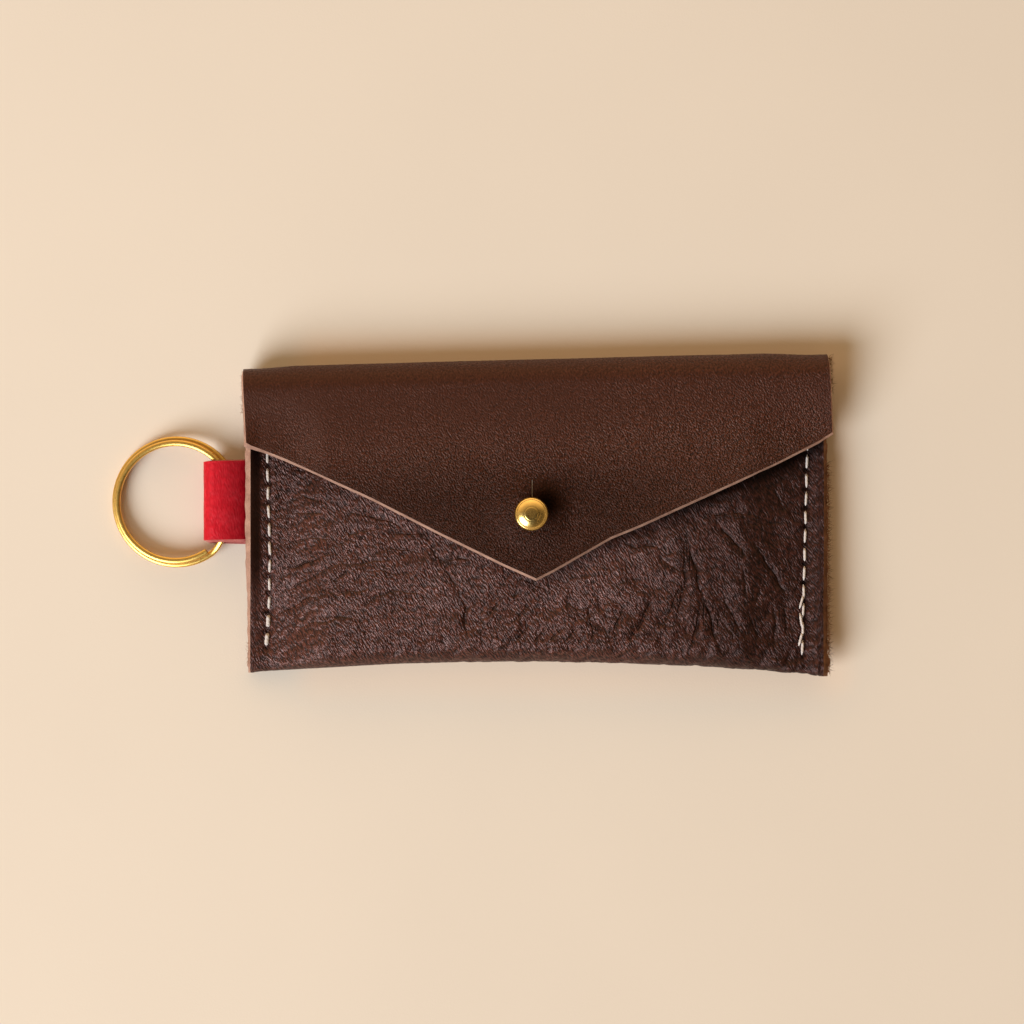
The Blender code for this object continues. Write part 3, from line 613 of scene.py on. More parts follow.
creases = [    # depth and half width of the folds worn into the front panel, then x, y, x, y ... along each,
    # all in mm
    (0.26, 0.34, 27, -0.8, 28.3, -5.2, 29.4, -9, 30.4, -13.4, 31.8, -17.6, 32.7, -20.4, 33.6, -24, 35, -27),
    (0.20, 0.32, 26.4, -1.6, 27.4, -5, 27.6, -8.6, 27.9, -12.2, 27.2, -15.2, 26.4, -18.2, 26.2, -21.4),
    (0.22, 0.32, 30.9, -14.6, 30.6, -17.8, 30.1, -20.8, 29.2, -23.8, 28, -26.6),
    (0.18, 0.32, 22.4, -14.6, 20.8, -16.8, 20.1, -19, 18.8, -21.2, 17, -23.2, 15.4, -25),
    (0.16, 0.30, 28, -12.2, 25.8, -15.4, 24.6, -18, 23.4, -20.6, 21.6, -23.4),
    (0.16, 0.30, 30.2, 0.6, 33.2, 0.2, 36.6, 0.5, 40.2, 0.1, 43.6, -0.9),
    (0.16, 0.28, 36.6, -1.1, 40.6, -1.7, 44.4, -1.3, 48.6, -0.9),
    (0.18, 0.30, 32.8, -0.6, 35.6, -3.2, 38.2, -6.2, 39.6, -8.8),
    (0.24, 0.34, 39, -2.8, 41.6, -6.2, 43.6, -9.2, 45.2, -12, 46.8, -14.6, 47.6, -17.4),
    (0.16, 0.30, 14.6, -4.9, 18, -5.8, 21.4, -5.7, 24, -6.6),
    (0.16, 0.30, 44.2, 5.8, 45.8, 3.2, 46.4, 0.4),
    (0.16, 0.32, 44.2, -16.4, 44.9, -19.6, 44.6, -22.8, 45.2, -26),
    (0.13, 0.30, 39.6, -17.6, 41, -21.2, 42.8, -24.8),
    (0.14, 0.32, 38.4, -9.8, 39.2, -12.8, 38.9, -16),
    (0.18, 0.32, 34.8, -13.8, 36, -17.2, 37.4, -20.6, 39.4, -23.8),
    (0.14, 0.30, 47.8, -14.6, 46.7, -17.8, 47.1, -21, 46.6, -24.4),
    (0.16, 0.30, 10.2, -19.6, 12.2, -21, 13.4, -23, 13.8, -25),
    (0.16, 0.30, 16.4, -17, 15, -19.6, 14.4, -22, 14.8, -24.6),
    (0.14, 0.28, 22.6, -7.6, 25, -9.6, 27.4, -10.6),
    (0.14, 0.30, 33.6, -17, 34.6, -20, 36.6, -22.4, 37.4, -25.4),
    (0.16, 0.30, -1.4, -16.2, -3, -18.4, -5, -20.2),
    (0.15, 0.28, -1.8, -20.6, -3.2, -22.6, -4.8, -24.4),
    (0.15, 0.28, 2.2, -20.6, 0.4, -22.6, -1, -24.2),
    (0.15, 0.28, 5.2, -20.8, 3.2, -22.6, 1.4, -24.4),
    (0.15, 0.28, 7.8, -20.8, 6.4, -22.8, 4.2, -24.6),
    (0.15, 0.28, 10.2, -15.4, 9.6, -17.8, 9.9, -20.6, 10.4, -22.6, 8.8, -24.6),
    (0.13, 0.28, -10.4, -20.8, -11, -22.8, -10.8, -24.8),
    (0.17, 0.34, -14.9, -11.2, -14.7, -15.2, -13.5, -17.6, -13.8, -20.4, -13.4, -23.6),
    (0.14, 0.28, -6.4, -14.8, -8, -17.2, -9.8, -19.4),
    (0.14, 0.28, -3.2, -11.9, -0.6, -13.2, 2.2, -14.4),
    (0.12, 0.28, 4.6, -15.4, 6.6, -17.4, 8.4, -17.6),
    (0.18, 0.32, -22.6, -2.8, -20.4, -5, -19.2, -7.4, -17.6, -9.8, -16.2, -12.4, -15, -15),
    (0.15, 0.28, -50.2, -10.3, -46.4, -9.9, -43, -8.4, -40, -7.4, -37, -6.6),
    (0.12, 0.28, -43.6, -12, -41, -13.6, -38, -14.9, -34.8, -14.2, -29.8, -13.2),
    (0.12, 0.26, -39.8, -11.2, -38.6, -12.5, -36.8, -11.2, -35.4, -9.8),
    (0.12, 0.28, -50.2, -19.2, -48, -18.1, -46, -16.6, -44, -15.5, -40.4, -15),
    (0.16, 0.28, -36.4, 0.6, -33.2, 0.2, -30.2, -0.4, -27.4, -1.3, -24.8, -2.9),
    (0.13, 0.28, -30.2, -2.7, -27.2, -3.3, -24.2, -3.2, -21.6, -3.6, -20, -5.2),
    (0.14, 0.28, -36.2, -3.6, -33.2, -3, -30, -2.4),
    (0.11, 0.28, -31.4, -7, -28.2, -6.3, -25, -6.6, -22, -7.6),
    (0.13, 0.28, -48.6, -5.8, -45.4, -4.6, -42, -4.2, -38.6, -4.4),
    (0.12, 0.28, -50, -14.8, -46.8, -13.8, -43.4, -11.8, -39.6, -9.8, -35, -7.4),
    (0.11, 0.26, -33.8, -16.4, -30.4, -15, -26.8, -14.2, -22.8, -14.6, -19.4, -16.2),
    (0.11, 0.26, -46.4, -21.6, -42.2, -20.2, -37.6, -19.2, -33, -19.6),
    (0.14, 0.28, -19.8, -10, -17.8, -8.7, -15.2, -7.9, -12, -8.6),
    (0.12, 0.26, -37.4, -8.6, -34.2, -9.4, -31, -8.2, -27.6, -8.4),
    (0.12, 0.26, -45.4, 4.2, -42.6, 3.2, -40, 2.4),
    (0.12, 0.26, -46.6, 0.4, -43.2, 0.6, -39.6, 0.2),
    (0.12, 0.26, -33.2, -10.8, -29.8, -10.2, -26.4, -11.2, -23, -10.6),
]


def nearLine(x, y, line):
    # signed distance to a drawn line, and how far along it the nearest place lies
    nearest, place = np.full(x.shape, 1.0), np.zeros(x.shape)
    points = list(zip(line[::2], line[1::2]))
    for i, ((ax, ay), (bx, by)) in enumerate(zip(points, points[1:])):
        dx, dy = (bx - ax) * mm, (by - ay) * mm
        share = np.clip(((x - ax * mm) * dx + (y - ay * mm) * dy) / (dx * dx + dy * dy), 0, 1)
        outX, outY = x - ax * mm - share * dx, y - ay * mm - share * dy
        distance = np.hypot(outX, outY)
        closer = distance < abs(nearest)
        nearest = np.where(closer, np.where(dx * outY > dy * outX, distance, -distance), nearest)
        place = np.where(closer, (i + share) / (len(points) - 1), place)
    return nearest, place


def creaseField(x, y):
    # signed distance to the nearest crease in half widths, its depth, and the broad sag round all of them
    x = x + 0.5 * mm * noiseAt(x, y, 2.6, 2.6, 11.0)
    y = y + 0.5 * mm * noiseAt(x, y, 2.6, 2.6, 17.0)
    side, depthHere, sag = np.full(x.shape, 4.0), np.zeros(x.shape), np.zeros(x.shape)
    for depth, width, *line in creases:
        distance, place = nearLine(x, y, line)
        fade = smooth(place * 3) * smooth((1 - place) * 3)
        widths = distance / (width * mm)
        closer = abs(widths) < abs(side)
        side = np.where(closer, widths, side)
        depthHere = np.where(closer, depth * fade * (1 - smooth(abs(widths) - 2.6)), depthHere)
        weight = mix(0.5, 1.0, climb(x, -10, 15))
        banks, floor = bell(abs(distance) - 1.5 * mm, 0.9 * mm), bell(distance, 0.75 * mm)
        sag += weight * depth * mm * fade * (0.5 * banks - 0.8 * floor)
    return side, depthHere, sag


def wrinkleRelief(x, y, across, along, turn, seed):
    # narrow valleys that run along the direction turn, in radians; the sizes are in mm
    run = x * np.cos(turn) + y * np.sin(turn)
    rise = y * np.cos(turn) - x * np.sin(turn)
    bend = 0.8 * across * mm * noiseAt(x, y, 3 * across, 3 * across, seed + 5)
    return -bell(noiseAt(run, rise + bend, along, across, seed), 0.16)


def stitchRelief(x, y, depth, dimple):
    relief = np.zeros(x.shape)
    for side in (-1, 1):
        low, high = seamPlace(side, 0)[1], seamPlace(side, 1)[1]
        seam = seamX(side, y)
        inSeam = climb(y - low, -1.5, 0) * climb(high - y, -1.5, 0)
        relief -= depth * inSeam * bell(x - seam, 0.8 * mm)
        for holeX, holeY in seamHoles(side):
            relief -= dimple * bell(np.hypot(x - holeX, y - holeY), 0.5 * mm)
    return relief


def frontRelief(x, y):
    inner = fullness(x, y, 6 * mm)
    right = climb(x, -5, 40)
    low = climb(-y, 6, 20)
    across = climb(x, -30, -10) * low
    turn = mix(radians(22), radians(-58), climb(x, -22, 18))
    gather = radians(48) * np.ones(x.shape)
    relief = 0.20 * mm * noiseAt(x, y, 11, 8, 1.0) * inner
    for depth, width, length, run, seed in (    # rows of wrinkles: sizes in mm
            (mix(0.05, 0.13, right), 2.3, 7, turn, 21.0), (0.04, 1.3, 3.2, turn, 31.0),
            (0.24 * across, 2.4, 8, gather, 41.0), (0.17 * across, 3.0, 7, -gather, 47.0)):
        relief += depth * mm * wrinkleRelief(x, y, width, length, run, seed)
    relief += 0.05 * mm * noiseAt(x, y, 0.9, 1.5, 51.0)
    relief += mix(0.04, 0.30, right) * mm * noiseAt(x + 0.6 * y, y - 0.6 * x, 4.4, 3.4, 71.0) * inner
    relief += creaseField(x, y)[2] * inner
    edgeLift = 0.55 * mm * (1 - besideLoop(y)) * smooth(-insideLeft(x) / seamInset)
    edgeLift += 0.75 * mm * climb(-insideRight(x, y), 0, 3.5)
    rib = noiseAt(x, y, 6, 1.1, 61.0) * climb(-insideRight(x, y), 0, 1.5)
    return relief + edgeLift + 0.12 * mm * rib + stitchRelief(x, y, 0.25 * mm, 0.30 * mm)


pouchMesh = {"columns": 250, "frontRows": 125, "foldRows": 22, "backRows": 24}


def trimmed(x):
    return x - pouch["trimRight"] * climb(x - halfWidth, -2.6, 0)


def makeGrid(name, columns, rows):
    sheet = addShape(bpy.ops.mesh.primitive_grid_add, name, x_subdivisions=columns, y_subdivisions=rows, size=1,
                     location=(0, 0, 0))
    places = pointsOf(sheet)
    return sheet, places[:, 0] + 0.5, places[:, 1] + 0.5


def slopedBack(width, fromEdge):
    # how far a point of the outer skin moves in, so that the cut edge shows this wide
    return width * np.clip(1 - fromEdge / (3 * width), 0, 1)


def thicken(piece, thickness, offset=-1.0):
    wall = piece.modifiers.new("wall", "SOLIDIFY")
    wall.thickness = thickness
    wall.offset = offset
    wall.use_even_offset = True
    wall.material_offset_rim = 1
    wall.material_offset = 2
    applyModifiers(piece)


def makePouchLeather():
    grid = pouchMesh
    rows = grid["frontRows"] + grid["foldRows"] + grid["backRows"]
    piece, u, v = makeGrid("pouchLeather", grid["columns"], rows)
    x, row = (u - 0.5) * pouch["width"], (1 - v) * rows
    start, radius, centreZ = bottomSection(x)
    angle = pi * np.clip((row - grid["frontRows"]) / grid["foldRows"], 0, 1)
    frontY = mix(mouthY(x), start, np.clip(row / grid["frontRows"], 0, 1))
    backShare = np.clip((row - grid["frontRows"] - grid["foldRows"]) / grid["backRows"], 0, 1)
    backY = mix(start, tangentY(x), backShare)
    onFront, onBack = row <= grid["frontRows"], backShare > 0
    y = np.where(onFront, frontY, np.where(onBack, backY, start - radius * np.sin(angle)))
    z = np.where(onFront, frontZ(x, frontY), np.where(onBack, backZ(x, backY), centreZ + radius * np.cos(angle)))
    flatY = np.where(onFront, frontY, start - radius * angle - (backY - start) * onBack)
    setPoints(piece, np.stack([trimmed(np.where(onBack, flared(x, backY), x)), y, z], axis=1))
    setFlatMap(piece, x, flatY)

    turned = smooth(angle / pi)                       # 0 on the front, 1 on the back
    front = frontRelief(x, np.maximum(flatY, bottomY - 6 * mm))
    under = stitchRelief(x, y, 0.12 * mm, 0.15 * mm) - 0.03 * mm * noiseAt(x, y, 3, 3, 71.0)
    relief = mix(front, under, turned)
    underFlap = y > flapEdgeY(x) + 1.0 * mm
    relief = np.where(onFront & underFlap, np.minimum(relief, 0.10 * mm), relief)
    pushOut(piece, relief)

    hole = np.zeros(x.shape)
    for side in (-1, 1):
        for holeX, holeY in seamHoles(side):
            hole = np.maximum(hole, bell(np.hypot(x - holeX, y - holeY), 0.45 * mm))
    beyondSeam = climb(-insideLeft(x), 0, 1.2)
    creaseSide, creaseDepth = creaseField(x, flatY)[:2]
    setValues(piece, "creaseSide", creaseSide)
    setValues(piece, "creaseDepth", np.where(turned < 0.3, creaseDepth, 0))
    # painted shade below the flap's edge, towards the right, and on the seam allowance beside the loop (a little paler
    # elsewhere); painted sheen in broad patches; darker at the stitch holes. Where the shade is painted the grain is
    # weakened too.
    belowFlap = flapEdgeY(x) - y
    shadeBelowFlap = climb(x, -4, 6) * bell(np.minimum(belowFlap, 9 * mm), 2.8 * mm)
    shadeBelowFlapLeft = climb(-x, 28, 42) * bell(np.minimum(belowFlap, 14 * mm), 5.5 * mm)
    toRight = climb(x, 6, 40)
    sheen = noiseAt(x, flatY, 8, 5.5, 131.0) * (1 - 0.5 * toRight)    # broad lighter and darker patches
    paintedShade = 0.41 * toRight + 0.60 * shadeBelowFlap + 0.26 * shadeBelowFlapLeft - 0.16 * sheen
    paintedShade = 0.75 * hole + beyondSeam * mix(-0.12, 0.5, besideLoop(y)) + paintedShade
    grain = (1 - mix(0.35, 0.85, besideLoop(y)) * beyondSeam) * mix(1, 0.4, smooth(turned * 3))
    setLook(piece, 1 - np.clip(paintedShade, -0.25, 0.9), grain * (1 - 0.22 * toRight) * (1 - 0.30 * shadeBelowFlap))

    count = len(x)
    giveMaterials(piece, [frontLeather, rawEdge, fleshSide, suedeEdge])
    thicken(piece, leather)
    places = pointsOf(piece)
    for face in piece.data.polygons:
        if face.material_index == 1 and places[face.vertices[0], 0] > halfWidth - 2 * mm:
            face.material_index = 3
    slope = mix(0.50, 0.85, besideLoop(y)) * mm
    rightSlope = mix(0.75, 0.90, climb(-y, 0, 20)) * mm
    onTop = turned < 0.5
    places[:count, 0] += onTop * (slopedBack(slope, x + halfWidth) - slopedBack(rightSlope, halfWidth - x))
    places[:count, 1] -= slopedBack(0.4 * mm, row / grid["frontRows"] * 45 * mm) * onTop
    setPoints(piece, places)
    smoothShade(piece)
    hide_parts("pouch_body")
    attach(piece, "pouch")


# The flap and the top fold, one leather with the pouch

flap = inMetres({
    "sideDrop": 10.2, "tipPastStud": 12.3, "tipOffset": -2.2, "settle": 12, "domeRadius": 8.5,
    "cutEdge": 0.50,    # the sloping cut edge shows this wide from above
})
flapMesh = {"columns": 246, "foldRows": 34, "flapRows": 84}
stiffShare = 0.5        # the flap's sides follow the sloping panel only this far down
edgeWave = [(-55, 0), (-48, -0.55), (-32, -0.65), (-20, 0), (-8, 0.4), (1, 0.3), (12, -0.5), (18, 0), (28, 0.4),
            (44, 1.05), (56, 0.85)]    # (mm along, mm longer) of the hand-cut edge

stud = inMetres({
    "ball": 3.2, "topFlat": 1.15, "neck": 1.5, "base": 3.2, "baseThickness": 0.6, "slitLength": 3.7,
    "headRise": 1.75,    # the head's crown above its widest place
    "headFall": 2.6,     # from its widest place down to the neck
})
studPlace = (-1.4 * mm, 0.3 * mm)
studGrooves = [(2.78, 0.10, 0.07), (1.32, 0.08, 0.03)]    # turned lines: radius, width and depth in mm
headSteps = 64

tipDrop = tangentMiddle - studPlace[1] + flap["tipPastStud"]


def stripWidthAt(x, rolled):
    return x / cos(foldAngle) + rolled * tan(foldAngle)


def foldToWorld(along, out):
    x = along * cos(foldAngle) - out * sin(foldAngle)
    y = tangentMiddle + along * sin(foldAngle) + out * cos(foldAngle)
    return x, y


def flapLength(x):
    reach = np.where(x > flap["tipOffset"], halfWidth - flap["tipOffset"], halfWidth + flap["tipOffset"])
    along, longer = zip(*edgeWave)
    return mix(tipDrop, flap["sideDrop"], abs(x - flap["tipOffset"]) / reach) + np.interp(x / mm, along, longer) * mm


def flapEdgeY(x):
    return tangentY(x) - flapLength(x)


def flapUnderZ(x, y, drop):
    away = np.hypot(x - studPlace[0], y - studPlace[1])
    dome = smooth((flap["domeRadius"] - away) / (flap["domeRadius"] - stud["base"]))
    overStud = (stud["baseThickness"] + layerGap) * dome
    overSeam = (pouch["thread"] + pouch["threadGap"]) * (1 - fullness(x, y, pocketRamp))
    panel = frontZ(x, y) + overSeam
    resting = mix(panel, np.maximum(panel, frontTop), stiffShare) + pouch["flapGap"] + overStud
    return mix(closedHeight - leather, resting, smooth(drop / flap["settle"]))


def makeFlapLeather():
    rows = flapMesh["foldRows"] + flapMesh["flapRows"]
    piece, u, v = makeGrid("flapLeather", flapMesh["columns"], rows)
    x, row = (u - 0.5) * pouch["width"], v * rows
    column = np.round(u * flapMesh["columns"])
    tip = round((flap["tipOffset"] / pouch["width"] + 0.5) * flapMesh["columns"])
    x = np.where(column == tip, flap["tipOffset"], x)

    onFlap = row <= flapMesh["flapRows"]
    drop = flapLength(x) * np.clip(1 - row / flapMesh["flapRows"], 0, 1)
    angle = pi * (1 - np.clip((row - flapMesh["flapRows"]) / flapMesh["foldRows"], 0, 1))
    low = backZ(x, tangentY(x))
    radius = (closedHeight - low) / 2
    rolled = foldMiddleRadius * angle + drop
    along = stripWidthAt(flared(x, tangentY(x)), rolled)
    foldX, foldY = foldToWorld(along, radius * np.sin(angle))
    flapX, flapY = foldToWorld(along, -drop)
    flapZ = flapUnderZ(flapX, flapY, drop) + leather
    foldZ = low + radius - radius * np.cos(angle)
    places = np.stack([trimmed(np.where(onFlap, flapX, foldX)), np.where(onFlap, flapY, foldY),
                       np.where(onFlap, flapZ, foldZ)], axis=1)
    setPoints(piece, places)
    setFlatMap(piece, x, -rolled)

    pushOut(piece, 0.07 * mm * noiseAt(x, rolled, 14, 9, 81.0) + 0.02 * mm * noiseAt(x, rolled, 1.6, 2.4, 83.0))
    studX, studY = studPlace
    # painted shadow of the stud on the flap, to its upper right; the grain is weakened there too
    shadowed = bell(np.hypot(flapX - studX - 2.6 * mm, flapY - studY - 2.0 * mm), 3.2 * mm) * onFlap
    # darker towards the lower middle and left of the flap
    lower = climb(drop, 10, 22) * (1 - 0.8 * climb(x, 10, 35))
    grain = mix(0.42, 1.0, climb(drop, 2, 18)) * (1 - 0.6 * shadowed)
    grain *= mix(1.0, 1.5, climb(x, 2, 26)) * mix(0.8, 1.0, climb(x, -40, -20))
    setLook(piece, 1.10 - 0.48 * lower - 0.56 * shadowed, grain)

    count = len(x)
    fromTip = flapLength(x) * row / flapMesh["flapRows"]
    giveMaterials(piece, [flapLeatherFinish, rawEdge, fleshSide])
    thicken(piece, leather)
    places = pointsOf(piece)
    places[:count, 1] += slopedBack(flap["cutEdge"], fromTip)
    places[:count, 0] += slopedBack(0.4 * mm, x + halfWidth) - slopedBack(0.3 * mm, halfWidth - x)
    setPoints(piece, places)
    cutButtonhole(piece)
    smoothShade(piece)
    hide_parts("top_fold", "flap", "flap_buttonhole")
    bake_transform(piece)


def cutButtonhole(piece):
    # round hole for the neck of the stud and a slit towards the fold
    x, y = studPlace
    hole = addShape(bpy.ops.mesh.primitive_cylinder_add, "neckHole", vertices=32, depth=6 * mm,
                    radius=stud["neck"] + 0.3 * mm, location=(x, y, closedHeight))
    flapTop = frontTop + pouch["flapGap"] + stud["baseThickness"] + layerGap + leather
    slit = addShape(bpy.ops.mesh.primitive_cube_add, "slitCutter", size=1, rotation=(radians(-10), 0, 0),
                    location=(x + 0.15 * mm, y + 4.6 * mm, flapTop - 0.16 * mm),
                    scale=(0.15 * mm, stud["slitLength"], 0.40 * mm))
    piece.data.materials.append(slitLip)
    for cutter, lining in ((hole, rawEdge), (slit, slitLip)):
        giveMaterials(cutter, [flapLeatherFinish, lining])
        for face in cutter.data.polygons:
            face.material_index = 1
        cut = piece.modifiers.new("cut", "BOOLEAN")
        cut.object = cutter
        cut.solver = "EXACT"
        applyModifiers(piece)
    for cutter in (hole, slit):
        bpy.data.objects.remove(cutter, do_unlink=True)


makePouchLeather()
print("pouch leather is made")
makeFlapLeather()
print("flap leather is made")


# Red loop, and the ring that it has to fit

ring = inMetres({
    "radius": 12.5, "wireWidth": 1.2, "wireHeight": 0.9, "coilGap": 0.42, "inset": 0.7, "clearOfPouch": 1.3,
})
stepAngle, stepSpan = radians(-57), radians(28)    # where the wire climbs from one coil to the other
stepsPerTurn = 160

ringHeight = 2 * ring["wireHeight"] + ring["coilGap"]
loopInside = ringHeight + 2 * loop["ringGap"]
loopHeight = pouch["seamRiseLeft"] + loopInside / 2 + loop["leather"] + layerGap / 2
ringTilt = atan2(loopHeight - ringHeight / 2, 2 * ring["radius"] - loop["reach"] / 2)
ringCentre = (-halfWidth - ring["clearOfPouch"] - ring["radius"] * cos(ringTilt), loop["middle"],
              ringHeight / 2 * cos(ringTilt) + ring["radius"] * sin(ringTilt))


def ringPlaneZ(x):
    near = ringCentre[0] + ring["radius"]
    return ringCentre[2] + (min(x, near) - ringCentre[0]) * tan(ringTilt)


def loopLine(steps):
    # the strap's middle line: in from the seam along the under layer, round the ring and back
    sewnX, edgeX = -halfWidth + seamInset, -halfWidth
    bend = loopInside / 2 + loop["leather"] / 2
    rootLow = pouch["seamRiseLeft"] + leather + layerGap + loop["leather"] / 2
    rootHigh = rootLow + loop["leather"] + layerGap
    near = ringCentre[0] + ring["radius"]
    foldX = edgeX - loop["reach"] + loop["leather"] / 2 + bend
    low, high = [], []
    for i in range(steps + 1):
        x = mix(sewnX + loop["root"], foldX, i / steps)
        plane = ringPlaneZ(x)
        falling = smooth((edgeX + layerGap - x) / (edgeX - near + ring["clearOfPouch"]))
        rising = smooth((sewnX - x) / (sewnX - near))
        low.append((x, mix(rootLow, plane - bend, falling)))
        high.append((x, mix(rootHigh, plane + bend, rising)))
    turn = [(foldX - bend * sin(pi * i / steps), ringPlaneZ(foldX) - bend * cos(pi * i / steps))
            for i in range(1, steps)]
    return np.array(low + turn + high[::-1])


def makeLoopStrap():
    line = loopLine(40)
    rows = len(line) - 1
    piece, u, v = makeGrid("redLoop", 44, rows)
    index = np.round(v * rows).astype(int)
    gone = np.concatenate([[0], np.cumsum(np.hypot(*np.diff(line, axis=0).T))])
    skew = loop["skew"] * (v - 0.5)
    y = loop["middle"] + (u - 0.5) * loop["width"] + skew
    setPoints(piece, np.stack([line[index, 0], y, line[index, 1]], axis=1))
    if normalsOf(piece)[index == rows].mean(0)[2] < 0:
        selectOnly([piece])
        startEdit()
        bpy.ops.mesh.flip_normals()
        endEdit()
    pushOut(piece, 0.05 * mm * noiseAt(gone[index], y, 4, 3, 91.0))
    setFlatMap(piece, gone[index], y)
    fromBend = line[index, 0] + halfWidth + loop["reach"]
    # painted light and shade: paler where the strap bends round the ring, darker towards the seam
    setLook(piece, mix(1.12, 0.48, climb(fromBend, 1.5, 7.5)), np.ones(len(u)))
    giveMaterials(piece, [redLeather, redRawEdge, redRawEdge])
    thicken(piece, loop["leather"], 0.0)
    places = pointsOf(piece)
    across = u * loop["width"]
    places[:len(u), 1] += slopedBack(0.50 * mm, across) - slopedBack(0.2 * mm, loop["width"] - across)
    setPoints(piece, places)
    smoothShade(piece)
    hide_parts("loop_tab")
    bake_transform(piece)


makeLoopStrap()
print("red loop is made")


# Metal: split ring, ball stud and its screw

def metalMaterial(name, tone, roughness):
    material, tree, shader = newMaterial(name, Metallic=1.0)
    place = objectPlace(tree)
    colour = addRamp(tree, addNoise(tree, place, 900.0, 3.0), [(0.35, np.array(tone) * 0.93), (0.65, tone)])
    scratch = addNoise(tree, place, 3500.0, 4.0, Distortion=2.0)
    feed(shader, Base_Color=colour,
         Roughness=remap(tree, scratch, 0.3, 0.75, roughness * 0.75, roughness * 1.3))
    return material


goldPlate = metalMaterial("goldPlate", (0.82, 0.495, 0.125), 0.33)
studBrass = metalMaterial("studBrass", (0.90, 0.60, 0.19), 0.25)


def wirePlace(turnAngle):
    share = smooth((turnAngle - stepAngle - 2 * pi) / stepSpan)
    radius = ring["radius"] - ring["wireWidth"] / 2 - ring["inset"] * share
    return radius, (ring["wireHeight"] + ring["coilGap"]) * (share - 0.5)


def makeSplitRing():
    start, end = stepAngle + stepSpan, stepAngle + 4 * pi
    steps = round((end - start) / (2 * pi) * stepsPerTurn)
    sides, reach = 16, 5                               # a rough coil first, shaped point by point below
    piece = addShape(bpy.ops.mesh.primitive_circle_add, "splitRing", vertices=sides, radius=0.5,
                     location=(reach, 0, 0), rotation=(radians(90), 0, 0))
    bakePlace(piece)
    startEdit()
    bpy.ops.mesh.spin(steps=steps, angle=end - start, center=(0, 0, 0), axis=(0, 0, 1), use_auto_merge=False)
    endEdit()
    raw = pointsOf(piece)
    turned = start + (end - start) * (np.arange(len(raw)) // sides) / steps
    angle = np.arctan2(raw[:, 2], np.hypot(raw[:, 0], raw[:, 1]) - reach)
    square = 2 / 3.2                                   # rounds the corners of a nearly flat wire
    out = np.sign(np.cos(angle)) * abs(np.cos(angle)) ** square * ring["wireWidth"] / 2
    up = np.sign(np.sin(angle)) * abs(np.sin(angle)) ** square * (ring["wireHeight"] + 0.3 * mm) / 2
    radius, rise = wirePlace(turned)
    tilt = Matrix.Translation(ringCentre) @ Matrix.Rotation(-ringTilt, 4, "Y")
    places = np.stack([(radius + out) * np.cos(turned), (radius + out) * np.sin(turned), rise + up], axis=1)
    setPoints(piece, [tilt @ Vector(place) for place in places])
    selectOnly([piece])
    startEdit()
    bpy.ops.mesh.select_all(action="DESELECT")
    bpy.ops.mesh.select_mode(type="EDGE")
    bpy.ops.mesh.select_non_manifold()
    bpy.ops.mesh.fill_holes(sides=0)
    closeUp()
    giveMaterials(piece, [goldPlate])
    smoothShade(piece, 50)
    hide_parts("split_ring")
    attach(piece, "ring")


def turnOnLathe(name, profile, centre, sides=64):
    # a ring of edges drawn up through (radius, height) points
    piece = addShape(bpy.ops.mesh.primitive_circle_add, name, vertices=sides, radius=profile[0][0],
                     fill_type="NGON", location=(*centre, profile[0][1]))
    startEdit()
    for (radius, height), (nextRadius, nextHeight) in zip(profile, profile[1:]):
        bpy.ops.mesh.extrude_region_move(TRANSFORM_OT_translate={"value": (0, 0, nextHeight - height)})
        size = nextRadius / radius
        bpy.ops.transform.resize(value=(size, size, 1))
    closeUp()
    bakePlace(piece)
    return piece


def makeStud():
    base, neck, ball, topFlat = stud["base"], stud["neck"], stud["ball"], stud["topFlat"]
    baseZ = frontTop + layerGap
    baseTop = baseZ + stud["baseThickness"]
    neckTop = baseTop + 2 * layerGap + leather
    headZ = neckTop + stud["headFall"] * (1 - (neck / ball) ** 2) ** 0.5
    profile = [(base - 0.15 * mm, baseZ), (base, baseZ + 0.15 * mm), (base, baseTop - 0.15 * mm),
               (base - 0.2 * mm, baseTop), (neck + 0.25 * mm, baseTop),
               (neck + 0.05 * mm, baseTop + 0.2 * mm), (neck, baseTop + 0.5 * mm)]
    low, high = pi - np.arcsin(neck / ball), np.arcsin(topFlat / ball)
    for i in range(headSteps + 1):
        angle = mix(low, high, i / headSteps)
        out, onCrown = ball * sin(angle), cos(angle) > 0
        groove = sum(depth * bell(out - place * mm, width * mm) for place, width, depth in studGrooves)
        rise = stud["headRise" if onCrown else "headFall"]
        profile.append((out, headZ + rise * cos(angle) - groove * mm * onCrown))
    top = profile[-1][1]
    profile += [(topFlat - 0.08 * mm, top + 0.012 * mm), (topFlat * 0.5, top + 0.014 * mm),
                (0.05 * mm, top + 0.014 * mm)]
    piece = turnOnLathe("ballStud", profile, studPlace)
    giveMaterials(piece, [studBrass])
    smoothShade(piece, 50)
    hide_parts("stud")
    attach(piece, "pouch")


makeSplitRing()
makeStud()
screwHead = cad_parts["stud_screw"]
giveMaterials(screwHead, [metalMaterial("screwBrass", (0.66, 0.47, 0.22), 0.32)])
print("split ring and stud are made")


# Stitches

stitch = {
    "width": 0.56 * mm,
    "length": 2.75 * mm,
    "dip": 0.55 * mm,
    "sides": 12,
    "rings": 22,
    "twists": 2.6,
    "bared": 0.36,         # the share of its width that stands out of the leather
    "rightWidth": 0.92,
    "fatWidth": 1.5,       # of the lowest stitches at the left
    "fatCount": 2,
    "doubled": 3,          # the lowest stitches at the right are sewn twice
}


def threadMaterial():
    material, tree, shader = newMaterial("creamThread", Roughness=0.85, Specular_IOR_Level=0.25)
    fuzz = addNoise(tree, objectPlace(tree), 9000.0, 3.0)
    tone = addRamp(tree, fuzz, [(0.3, (0.50, 0.395, 0.34)), (0.7, (0.80, 0.69, 0.61))])
    feed(shader, Base_Color=tone, Normal=addBump(tree, fuzz, 0.04 * mm))
    return material


